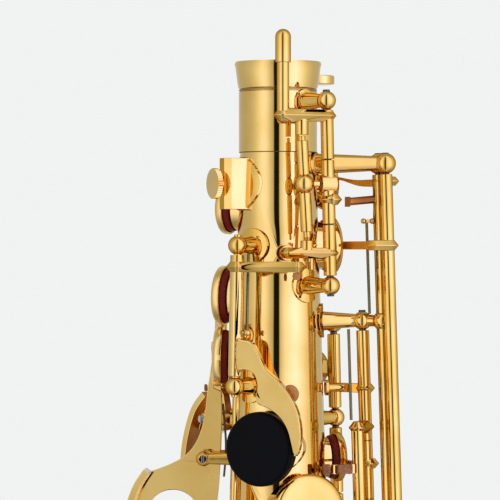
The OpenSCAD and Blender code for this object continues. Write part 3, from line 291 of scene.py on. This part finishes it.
def dressed(node, body, finishes, edge, drop=(), below=1.0):
    """Copy of a CAD node, smooth across its curves and rounded by the width edge along its sharp edges below
    a height. finishes go to its solids from the biggest to the smallest; those in drop are left out."""
    points, faces, number = solids(node)
    keep = ~np.isin(number, drop)
    used, faces = np.unique(faces[keep], return_inverse=True)
    mesh = bpy.data.meshes.new(node + "_finish")
    mesh.from_pydata(points[used].tolist(), [], faces.reshape(-1, 3).tolist())
    for finish in finishes:
        mesh.materials.append(finish)
    mesh.polygons.foreach_set("material_index", np.minimum(number[keep], len(finishes) - 1).astype(np.int32))
    mesh.polygons.foreach_set("use_smooth", np.ones(len(mesh.polygons), bool))
    mesh.set_sharp_from_angle(angle=SHARP_ANGLE)
    piece = bpy.data.objects.new(node + "_finish", mesh)
    SCENE.collection.objects.link(piece)
    if edge:
        sharp = values(mesh.attributes["sharp_edge"].data, "value", 1, bool)
        ends = values(mesh.edges, "vertices", 2, np.int64)
        low_edge = points[used][ends, 2].max(1) < below
        weight = mesh.attributes.new("bevel_weight_edge", "FLOAT", "EDGE")
        weight.data.foreach_set("value", (sharp & low_edge).astype(np.float32))
        bevel = piece.modifiers.new("rounded_edges", "BEVEL")
        bevel.width = edge
        bevel.segments = 2
        bevel.limit_method = "WEIGHT"
        bevel.use_clamp_overlap = False
        bevel.harden_normals = True
    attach(piece, body)
    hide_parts(node)
    return piece


def spun(piece):
    """Shades a piece that was spun about the bore as truly round: each corner keeps the outward and upward
    parts of its normal and loses the part along the ring. Faces that lean off the ring, as on a tone hole,
    stay as they are."""
    mesh = piece.data
    normal = values(mesh.corner_normals, "vector", 3)
    corner = values(mesh.loops, "vertex_index", 1, np.int64)
    flat = values(mesh.polygons, "normal", 3)
    middle = values(mesh.polygons, "center", 3)
    ring = np.stack([-middle[:, 1], middle[:, 0]], -1)
    ring /= np.linalg.norm(ring, axis=1, keepdims=True) + TINY
    along = np.repeat(np.abs((flat[:, :2] * ring).sum(1)) < OFF_RING, 3)
    out = values(mesh.vertices, "co", 3)[corner][:, :2]
    out = out / (np.linalg.norm(out, axis=1, keepdims=True) + TINY)
    part = (normal[:, :2] * out).sum(1, keepdims=True)
    true = np.concatenate([out * part, normal[:, 2:]], 1)
    true /= np.linalg.norm(true, axis=1, keepdims=True) + TINY
    mesh.normals_split_custom_set(np.where(along[:, None], true, normal).tolist())


for node in ("body_tube", "bell", "bell_ring"):
    spun(dressed(node, "body", [lacquer], edge=0))
dressed("octave_pip", "body", [lacquer], edge=0.00006)

# Neck receiver: a turned sleeve with a flared mouth, soldered over the top of the tube and slit at the back.
# Two ears carry the clamp screw, whose flat head stands out to the right. A thin dark ring painted in each
# seam stands for its shade.
SEAM_STEPS = 160
THREAD_STEPS = 12
spun(dressed("neck_receiver", "body", [lacquer], edge=0))
dressed("clamp_screw", "clamp_screw", [lacquer], edge=0.0003)
# Painted shade for the seams: a dull, nearly black brown.
seam = metal("seam_shadow", light=(0.24, 0.14, 0.04), deep=(0.17, 0.095, 0.03),
             smooth=0.3, rough=0.42, coat=0.0, bump=0.02)


def seam_shade_ring(name, radius, height, thick):
    """Thin dark thread painted as the shade in a seam round the bore, a torus: distance from the bore =
    radius + thick cos b, height = height + thick sin b."""
    a = np.linspace(0, FULL_TURN, SEAM_STEPS + 1)[:-1, None]
    b = np.linspace(0, FULL_TURN, THREAD_STEPS + 1)[None, :-1]
    far = radius + thick * np.cos(b)
    points = np.stack([far * np.cos(a), far * np.sin(a), height + thick * np.sin(b) + 0 * a], -1)
    piece = grid_piece(name, points, seam, closed_rows=True)
    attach(piece, "body")


sleeve = solids("neck_receiver")[0]
sleeve_foot = sleeve[:, 2].min()
sleeve_top = sleeve[:, 2].max()
foot = sleeve[sleeve[:, 2] < sleeve_foot + 0.0001]
foot_reach = np.hypot(foot[:, 0], foot[:, 1])
# Painted shade: dark rings at the foot of the sleeve and in the groove below its mouth.
seam_shade_ring("receiver_foot_seam", foot_reach.min() + 0.00012, sleeve_foot - 0.00008, thick=0.00013)
seam_shade_ring("receiver_mouth_seam", foot_reach.max() - 0.00008, sleeve_top - 0.0068, thick=0.0001)

# Lyre holder: a milled block on a round saddle, with a knurled screw that grips the lyre's shank.
# Like the posts and the keys it takes a lacquer a shade deeper than the body's, painted shade for the dimmer
# light on small parts.
# Its broad face keeps the body's paler lacquer as a painted highlight.
FACING_COSINE = 0.5
# A deeper copy of the gold lacquer: painted shade for the posts and keys, which catch less of the room's
# light.
shaded_lacquer = metal("shaded_lacquer", light=(0.91, 0.60, 0.168), deep=(0.84, 0.515, 0.113),
                    smooth=0.03, rough=0.07, coat=0.06, bump=0.02)
feed(shaded_lacquer.node_tree.nodes["Principled BSDF"], {"Specular Tint": (0.40, 0.19, 0.04, 1.0)})


def painted(piece, material, low, high, facing=None):
    """Gives another finish to the faces of a piece whose middle lies in a box and which face a way."""
    mesh = piece.data
    mesh.materials.append(material)
    middle = values(mesh.polygons, "center", 3)
    index = values(mesh.polygons, "material_index", 1, np.int32)
    chosen = ((middle > low) & (middle < high)).all(1)
    if facing:
        chosen &= values(mesh.polygons, "normal", 3) @ facing > FACING_COSINE
    index[chosen] = len(mesh.materials) - 1
    mesh.polygons.foreach_set("material_index", index)


lyre = dressed("lyre_holder", "body", [shaded_lacquer], edge=0.00012)
# Broad face: the paler body lacquer, a painted highlight.
painted(lyre, lacquer, low=(-0.0112, -0.0082, 0.524), high=(-0.0068, -0.0030, 0.538),
        facing=(0.42, -0.91, 0.0))
dressed("lyre_screw", "lyre_screw", [lacquer], edge=0.00005)

# Posts: turned brass, each a ball on a tapered stem on a round foot that is soldered to the tube.
# Two stems of the side keys' posts are shaded as if they stood a little askew.
TO_LENS = -0.7
SAME_WAY = 0.999


def face_turned(piece, turn, low=None, high=None):
    """Settles the rounded edges into the mesh and turns the shading of some faces by degrees about the bore,
    as if they stood askew: those whose middle lies in a box, or else the widest flat face to the lens."""
    settled = piece.evaluated_get(bpy.context.evaluated_depsgraph_get())
    mesh = bpy.data.meshes.new_from_object(settled)
    piece.modifiers.clear()
    piece.data = mesh
    normal = values(mesh.corner_normals, "vector", 3)
    flat = values(mesh.polygons, "normal", 3)
    sides = values(mesh.polygons, "loop_total", 1, np.int64)
    if low:
        middle = values(mesh.polygons, "center", 3)
        chosen = ((middle > low) & (middle < high)).all(1)
    else:
        ways, way = np.unique(np.round(flat, 2), axis=0, return_inverse=True)
        total = np.bincount(way.ravel(), values(mesh.polygons, "area")) * (ways[:, 1] < TO_LENS)
        chosen = flat @ ways[total.argmax()] > SAME_WAY
    a = np.radians(turn) * np.repeat(chosen, sides)
    x = normal[:, 0] * np.cos(a) - normal[:, 1] * np.sin(a)
    y = normal[:, 0] * np.sin(a) + normal[:, 1] * np.cos(a)
    mesh.normals_split_custom_set(np.stack([x, y, normal[:, 2]], -1).tolist())


# The posts take the deeper lacquer as painted shade.
for node in ("octave_posts", "palm_posts", "side_posts_low", "stack_posts", "low_posts", "bell_posts"):
    dressed(node, "body", [shaded_lacquer], edge=0.00008)
side_posts = dressed("side_posts", "body", [shaded_lacquer], edge=0.00008)
face_turned(side_posts, 13.0, low=(0.0105, -0.02, 0.4950), high=(0.0178, 0.02, 0.5005))
face_turned(side_posts, 21.0, low=(0.0125, -0.02, 0.5320), high=(0.0235, 0.02, 0.5382))

# Steel: the long hinge rods that run through posts and key tubes, the slotted pivot screws of the palm keys,
# and the needle springs, blued steel tinted olive by a painted reflection of the gold round them. The thin
# link rod is brass.
steel = metal("bare_steel", light=(0.60, 0.60, 0.59), deep=(0.47, 0.47, 0.47),
              smooth=0.12, rough=0.25, coat=0.0, bump=0.2)
# Near-black rod steel: painted shade in the gaps where the rods show between tubes and posts.
shaded_steel = metal("steel_painted_shade", light=(0.13, 0.115, 0.09), deep=(0.07, 0.062, 0.05),
                  smooth=0.14, rough=0.28, coat=0.0, bump=0.2)
# Blued spring steel, its olive tint a painted reflection of the gold.
blued_and_reflection = metal("blued_steel_painted_reflection", light=(0.27, 0.24, 0.115), deep=(0.18, 0.16, 0.075),
              smooth=0.30, rough=0.45, coat=0.0, bump=0.3)
rods = dressed("hinge_rods", "body", [shaded_steel], edge=0.00012)
# The thin brass link rod takes the deeper lacquer, painted shade.
painted(rods, shaded_lacquer, low=(-0.014, -0.022, 0.40), high=(-0.004, 0.0, 0.52))
dressed("palm_pivots", "body", [steel], edge=0.00008)
dressed("needle_springs", "body", [blued_and_reflection], edge=0.00012)

# Thumb rest: a black moulded disc with a softly domed face, pressed on a brass seat that is soldered to the
# tube. Lower down are the brass hook for the right thumb and the ring for the strap.
REST_BACK_INSET = 0.0007
REST_HEEL = 0.0005
REST_SHOULDER_WIDTH = 0.0013
REST_SHOULDER_HEIGHT = 0.0011
REST_SHOULDER_DROP = 0.00145
REST_FACE_INSET = 0.0014
REST_DOME = 0.00033
grain, make = number_group("fine_grain", ("Scale", "Coarse"), ("Tone", "Height"))
given = make("NodeGroupInput").outputs
where = make("ShaderNodeTexCoord").outputs["Object"]
pore = make("ShaderNodeTexNoise", {"Vector": where, "Scale": given["Scale"], "Detail": 4.0, "Roughness": 0.6})
patch = make("ShaderNodeTexNoise", {"Vector": where, "Scale": given["Coarse"], "Detail": 2.0})
tone = make("ShaderNodeMix", {0: 0.5, 2: pore.outputs["Fac"], 3: patch.outputs["Fac"]})
make("NodeGroupOutput", {"Tone": tone.outputs[0], "Height": pore.outputs["Fac"]})


def matt(name, light, deep, scale, coarse, smooth, rough, bump, depth):
    """Unpolished surface: colour and gloss follow a fine grain with broad patches, which raises its bumps."""
    material, make, skin = new_material(name)
    fine = make("ShaderNodeGroup", {"Scale": scale, "Coarse": coarse}, node_tree=grain)
    shade = ramp(make, fine.outputs["Tone"], [(0.35, deep), (0.65, light)])
    gloss = make("ShaderNodeMapRange", {"Value": fine.outputs["Tone"], "From Min": 0.35, "From Max": 0.65,
                                        "To Min": smooth, "To Max": rough})
    dent = make("ShaderNodeBump", {"Height": fine.outputs["Height"], "Strength": bump, "Distance": depth})
    feed(skin, {"Base Color": shade.outputs[0], "Roughness": gloss.outputs[0], "Normal": dent.outputs[0]})
    return material


def principal(node, k):
    """Corners of a solid of a node, its principal axes, and the middle and span of its box along them."""
    points, faces, number = solids(node)
    p = points[np.unique(faces[number == k])]
    axes = np.linalg.svd(p - p.mean(0), full_matrices=False)[2]
    q = (p - p.mean(0)) @ axes.T
    middle = p.mean(0) + (q.max(0) + q.min(0)) / 2 @ axes
    return p, axes, middle, np.ptp(q, axis=0)


def disc_of(node, k=0):
    """Middle, outward axis, radius and half thickness of a round solid of a node. The axis is the one whose
    two fellows have the same span, turned away from the bore, or upwards if it runs along the bore."""
    p, axes, middle, span = principal(node, k)
    odd = int(np.argmin([abs(span[1] - span[2]), abs(span[2] - span[0]), abs(span[0] - span[1])]))
    outward = middle * (1, 1, 0) + (0, 0, 1e-9)
    axis = axes[odd] if axes[odd] @ outward >= 0 else -axes[odd]
    off = p - middle
    radius = np.linalg.norm(off - (off @ axis)[:, None] * axis, axis=1).max()
    return middle, axis, radius, span[odd] / 2


def turned(name, profile, disc, material, body, around=72):
    """Round piece on the place of a CAD disc: a profile of (distance from the axis, height along it) pairs
    spun about the axis, point = middle + distance (cos a, sin a across the axis) + height along the axis."""
    middle, axis = disc[:2]
    side = np.cross(axis, (0.0, 0.0, 1.0) if abs(axis[2]) < 0.9 else (1.0, 0.0, 0.0))
    side /= np.linalg.norm(side)
    third = np.cross(axis, side)
    a = np.arange(around) * 2 * np.pi / around
    spokes = np.cos(a)[:, None] * side + np.sin(a)[:, None] * third
    profile = np.asarray(profile)
    points = middle + profile[:, 0, None, None] * spokes + profile[:, 1, None, None] * axis
    piece = grid_piece(name, points, material)
    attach(piece, body)
    return piece


def rest_profile(r, h):
    """Outline of the thumb rest, radius r and half thickness h: a flat back, a rounded heel, a shoulder that
    is a quarter of an ellipse, and a domed face, height = h - REST_DOME (distance / reach)^2."""
    a = np.linspace(0, np.pi / 2, 12)
    heel = np.stack([r - REST_HEEL + REST_HEEL * np.sin(a), -h + REST_HEEL - REST_HEEL * np.cos(a)], -1)
    shoulder = np.stack([r - REST_SHOULDER_WIDTH + REST_SHOULDER_WIDTH * np.cos(a),
                         h - REST_SHOULDER_DROP + REST_SHOULDER_HEIGHT * np.sin(a)], -1)
    brow = np.linspace(1.0, 0.0, 14)
    face = np.stack([(r - REST_FACE_INSET) * brow, h - REST_DOME * brow ** 2], -1)
    return np.concatenate([[[0.0, -h], [r - REST_BACK_INSET, -h]], heel, shoulder, face])


rest_plastic = matt("thumb_rest_black", light=(0.0030, 0.0033, 0.0044), deep=(0.0020, 0.0022, 0.0030),
                    scale=5200.0, coarse=120.0, smooth=0.30, rough=0.42, bump=0.08, depth=0.00003)
feed(rest_plastic.node_tree.nodes["Principled BSDF"], {"Specular IOR Level": 0.06})
dressed("rest_base", "body", [lacquer], edge=0.0001)
rest = disc_of("thumb_rest")
rest_outline = rest_profile(*rest[2:])
rest_piece = turned("thumb_rest_disc", rest_outline, rest, rest_plastic, "body", 128)
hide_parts("thumb_rest")
dressed("thumb_hook", "body", [lacquer], edge=0.0004)
dressed("strap_ring", "body", [lacquer], edge=0.0001)

# Octave mechanism: a thumb lever that tips a carrier on the long hinge, a ball-and-rod rocker on the carrier,
# the lever with the pin for the neck's key, and the lever over the pip on the body.
# Felts under the thumb lever quiet its ends.
PAD = 1
PADDLE_FELT = 1
PLATE_FELT = 2
PAD_FACE = 0.94
PAD_CROWN = 0.16
PRINT_DEPTH = 0.00008
PRINT_INSET = 0.0012
PRINT_WIDTH = 0.0004
DISC_FROM_RADIUS = 0.0045
DISC_REACH = 0.42
DISC_RISE = 0.00014
DISC_SUNK = 0.0002
RIVET_REACH = 0.1
RIVET_RISE = 0.00008
felt = matt("pressed_felt", light=(0.66, 0.28, 0.07), deep=(0.48, 0.19, 0.04),
            scale=3000.0, coarse=700.0, smooth=0.85, rough=0.97, bump=0.7, depth=0.00012)
cork = matt("brown_cork", light=(0.46, 0.19, 0.065), deep=(0.20, 0.075, 0.022),
            scale=2400.0, coarse=900.0, smooth=0.7, rough=0.9, bump=0.6, depth=0.00010)
leather = matt("pad_leather", light=(0.22, 0.012, 0.007), deep=(0.13, 0.007, 0.004),
               scale=2600.0, coarse=300.0, smooth=0.46, rough=0.65, bump=0.35, depth=0.00006)
feed(leather.node_tree.nodes["Principled BSDF"], {"Specular IOR Level": 0.25})


def soft_disc(name, disc, material, body):
    """Punched round of felt or cork with a swollen edge: distance = r - s + s cos a, height = 0.45 h sin a +
    0.55 (h - s / 4) sin^3 a, where the softness s is the lesser of 0.35 r and 0.6 h."""
    r, h = disc[2:]
    a = np.linspace(-np.pi / 2, np.pi / 2, 16)
    s = min(0.35 * r, 0.6 * h)
    rise = (h - 0.25 * s) * np.sin(a) ** 3 * 0.55 + h * 0.45 * np.sin(a)
    rim = np.stack([r - s + s * np.cos(a), rise], -1)
    share = np.linspace(0, 1, 8)[:-1, None]
    back = share * (1, 0) * rim[0] + (0, rim[0, 1])
    front = share[::-1] * (1, 0) * rim[-1] + (0, rim[-1, 1])
    piece = turned(name, np.concatenate([back, rim, front]), disc, material, body, 48)
    return piece


def leather_pad(name, disc, body):
    """Pad: a crowned leather face, height = -h (1 - PAD_CROWN (distance / r)^4), with the ring that the tone
    hole has pressed into it, rolled round its edge to a flat back. Big ones have a domed disc riveted on."""
    r, h = disc[2:]
    reach = PAD_FACE * r * np.sin(np.linspace(0, np.pi / 2, 40))
    print_ring = PRINT_DEPTH * np.exp(-((reach - (r - PRINT_INSET)) / PRINT_WIDTH) ** 2)
    face = -h * (1 - PAD_CROWN * (reach / r) ** 4) + print_ring
    a = np.linspace(-np.pi / 2, np.pi / 2, 14)[1:]
    edge = np.stack([PAD_FACE * r + (1 - PAD_FACE) * r * np.cos(a),
                     (face[-1] + h) / 2 + (h - face[-1]) / 2 * np.sin(a)], -1)
    profile = np.concatenate([np.stack([reach, face], -1), edge, [[0.5 * r, h], [0.0, h]]])
    piece = turned(name, profile, disc, leather, body)
    if r > DISC_FROM_RADIUS:
        b = np.linspace(0, np.pi / 2, 14)
        dome = np.stack([DISC_REACH * r * np.sin(b), -h - DISC_RISE * np.cos(b) ** 0.7], -1)
        dome = dome[dome[:, 0] > 1.1 * RIVET_REACH * r]
        b = np.linspace(0, np.pi / 2, 8)
        rivet = np.stack([RIVET_REACH * r * np.sin(b), -h - DISC_RISE - RIVET_RISE * np.cos(b)], -1)
        sunk = [[DISC_REACH * r, -h + DISC_SUNK], [0.0, -h + DISC_SUNK]]
        turned(name + "_disc", np.concatenate([rivet, dome, sunk]), disc, lacquer, body, 48)
    return piece


# The octave levers take the deeper lacquer as painted shade.
for node in ("octave_neck_lever", "octave_carrier", "octave_rocker"):
    dressed(node, node, [shaded_lacquer], edge=0.00012)
dressed("octave_body_lever", "octave_body_lever", [shaded_lacquer], edge=0.00012, drop=(PAD,))
leather_pad("octave_pip_pad", disc_of("octave_body_lever", PAD), "octave_body_lever")
thumb_lever = dressed("octave_thumb_lever", "octave_thumb_lever", [lacquer], edge=0.00032,
                      drop=(PADDLE_FELT, PLATE_FELT), below=0.496)
face_turned(thumb_lever, -9.0)
# The thumb lever's bar takes the deeper lacquer as painted shade; its paddle keeps the body's.
painted(thumb_lever, shaded_lacquer, low=(-0.05, -0.05, 0.5085), high=(0.05, 0.05, 0.55))
soft_disc("thumb_paddle_felt", disc_of("octave_thumb_lever", PADDLE_FELT), felt, "octave_thumb_lever")
soft_disc("thumb_plate_felt", disc_of("octave_thumb_lever", PLATE_FELT), felt, "octave_thumb_lever")

# Palm keys: each a flat cast arm that rocks on a screw between two short posts, with a cup at its top end and
# a curved touch for the palm at the other. The D key has a flat steel spring, a cork bumper and a screw.
BUMPER = 2
# The flat spring takes the near-black rod steel.
palm_d = dressed("palm_d_key", "palm_d_key", [lacquer, shaded_steel, cork, steel], edge=0.0002, drop=(BUMPER,))
face_turned(palm_d, -5.0)
soft_disc("palm_d_bumper", disc_of("palm_d_key", BUMPER), cork, "palm_d_key")
# Darker brown brass, painted shade: the inner sides of the palm touches and the F sharp key's peg.
shaded_brass = metal("brass_painted_shade", light=(0.52, 0.20, 0.035), deep=(0.30, 0.10, 0.018),
              smooth=0.22, rough=0.34, coat=0.2, bump=0.3)


def own_pad(key):
    """Leather pad on the place of a pad that is a CAD node of its own beside its key."""
    pad = leather_pad(key + "_leather", disc_of(key + "_pad"), key + "_key")
    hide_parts(key + "_pad")


for key in ("palm_eb", "palm_f"):
    piece = dressed(key + "_key", key + "_key", [lacquer], edge=0.00025)
    # Inner side of the touch: the darker brass as painted shade.
    painted(piece, shaded_brass, low=(-0.05, -0.05, 0.44), high=(0.05, 0.05, 0.485), facing=(0.755, -0.656, 0.0))
for key in ("palm_d", "palm_eb", "palm_f"):
    own_pad(key)

# Side keys: long brass tubes on steel rods, with a flat touch low down for the right hand and an arm and cup
# high up. The C key stops on a cork block at the end of a short arm, next to a ridged cork.
RIDGED_CORK = 1
STOP_CORK = 2
BLOCK_POWER = 0.3
RIDGE_DEPTH = 0.12
# A matt, deeper orange brass, painted shade on the E key's arm and the F sharp key's leaf behind the rods.
shaded_arm_brass = metal("orange_brass_painted_shade", light=(0.96, 0.53, 0.065), deep=(0.70, 0.34, 0.035),
                smooth=0.42, rough=0.56, coat=0.1, bump=1.0)
# The side keys take the deeper lacquer as painted shade.
high_e = dressed("high_e_key", "high_e_key", [shaded_lacquer], edge=0.00014)
# E key's arm: the orange brass as painted shade.
painted(high_e, shaded_arm_brass, low=(0.0155, -0.02, 0.513), high=(0.0232, 0.02, 0.519))
high_fsharp = dressed("high_fsharp_key", "high_fsharp_key", [shaded_lacquer], edge=0.00014)
# F sharp key's leaf: the orange brass as painted shade.
painted(high_fsharp, shaded_arm_brass, low=(0.0150, -0.02, 0.5245), high=(0.0232, 0.02, 0.534))
# The peg takes the darker brass as painted shade.
painted(high_fsharp, shaded_brass, low=(0.0130, -0.02, 0.5240), high=(0.0228, 0.02, 0.5290))
dressed("side_c_key", "side_c_key", [shaded_lacquer], edge=0.00014, drop=(RIDGED_CORK, STOP_CORK))
dressed("side_bb_key", "side_bb_key", [shaded_lacquer], edge=0.00014, drop=(PAD,))
for key in ("high_e", "high_fsharp", "side_c"):
    own_pad(key)
leather_pad("side_bb_leather", disc_of("side_bb_key", PAD), "side_bb_key")


def blunt(w):
    """Cosine or sine made blunt: its sign times its size to a power under 1."""
    return np.sign(w) * np.abs(w) ** BLOCK_POWER


def cork_block(name, node, k, ridges):
    """Rounded block on the place of a solid of a key, point = middle + the sum of its axes times half span
    times blunt cosines and sines of two angles; ridges is how many waves run along its longest axis."""
    _, axes, middle, span = principal(node, k)
    u = np.linspace(-np.pi / 2, np.pi / 2, 49)[:, None]
    v = np.linspace(-np.pi, np.pi, 65)[None, :-1]
    x = blunt(np.sin(u)) + 0 * v
    wave = 1 - (RIDGE_DEPTH * (1 + np.cos(ridges * np.pi * x)) / 2 if ridges else 0)
    y = blunt(np.cos(u)) * blunt(np.cos(v)) * wave
    z = blunt(np.cos(u)) * blunt(np.sin(v)) * wave
    points = np.stack([x, y, z], -1) * (span / 2) @ axes + middle
    piece = grid_piece(name, points, cork)
    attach(piece, node)


cork_block("side_c_ridged_cork", "side_c_key", RIDGED_CORK, ridges=8)
cork_block("side_c_stop_cork", "side_c_key", STOP_CORK, ridges=0)

# Finger keys: on the front, each a tube on the stack's rod with an arm over its cup and a pad glued in it.
# Seven carry a domed pearl in a round holder for the finger. The front F lever has neither cup nor pearl.
PEARL = 2
pearl = matt("finger_pearl", light=(0.88, 0.87, 0.82), deep=(0.74, 0.72, 0.70),
             scale=500.0, coarse=90.0, smooth=0.08, rough=0.16, bump=0.04, depth=0.00003)
feed(pearl.node_tree.nodes["Principled BSDF"], {"Coat Weight": 0.5})


def pearl_dome(name, disc, body):
    """Pearl with a flat back and a domed face, height = h - 0.9 h (distance / r)^3."""
    r, h = disc[2:]
    swell = np.linspace(1.0, 0.0, 20)
    crest = np.stack([r * swell, h - 0.9 * h * swell ** 3], -1)
    back = [[0.0, -h], [0.97 * r, -h], [r, -0.94 * h]]
    turned(name, np.concatenate([back, crest]), disc, pearl, body)


# The finger keys take the deeper lacquer as painted shade.
dressed("front_f_lever", "front_f_lever", [shaded_lacquer], edge=0.00025)
for key in ("c_vent_key", "fsharp_key"):
    dressed(key, key, [shaded_lacquer], edge=0.0002, drop=(PAD,))
    leather_pad(key + "_leather", disc_of(key, PAD), key)
for key in ("b_key", "bis_key", "a_key", "g_key", "f_key", "e_key", "d_key"):
    dressed(key, key, [shaded_lacquer], edge=0.0002, drop=(PAD, PEARL))
    leather_pad(key + "_leather", disc_of(key, PAD), key)
    pearl_dome(key + "_pearl", disc_of(key, PEARL), key)

# Low keys: G sharp, E flat and C sharp stand shut, C, B and B flat stand open under their wire guards.
# Each has a long tube, a touch for a little finger and a wide cup with its pad.
# The low keys take the deeper lacquer as painted shade.
for key in ("gsharp_key", "eb_key", "low_c_key", "low_csharp_key", "low_b_key", "low_bb_key"):
    dressed(key, key, [shaded_lacquer], edge=0.0002, drop=(PAD,))
    leather_pad(key + "_leather", disc_of(key, PAD), key)

# Guards: bent brass straps with well rounded edges, soldered to the body over the three open low cups.
# Each has a round of felt inside that stops its cup.
dressed("key_guards", "body", [lacquer], edge=0.0004)
for k in range(3):
    guard_felt = soft_disc(f"guard_felt_{k}", disc_of("guard_felts", k), felt, "body")
    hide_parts("guard_felts")
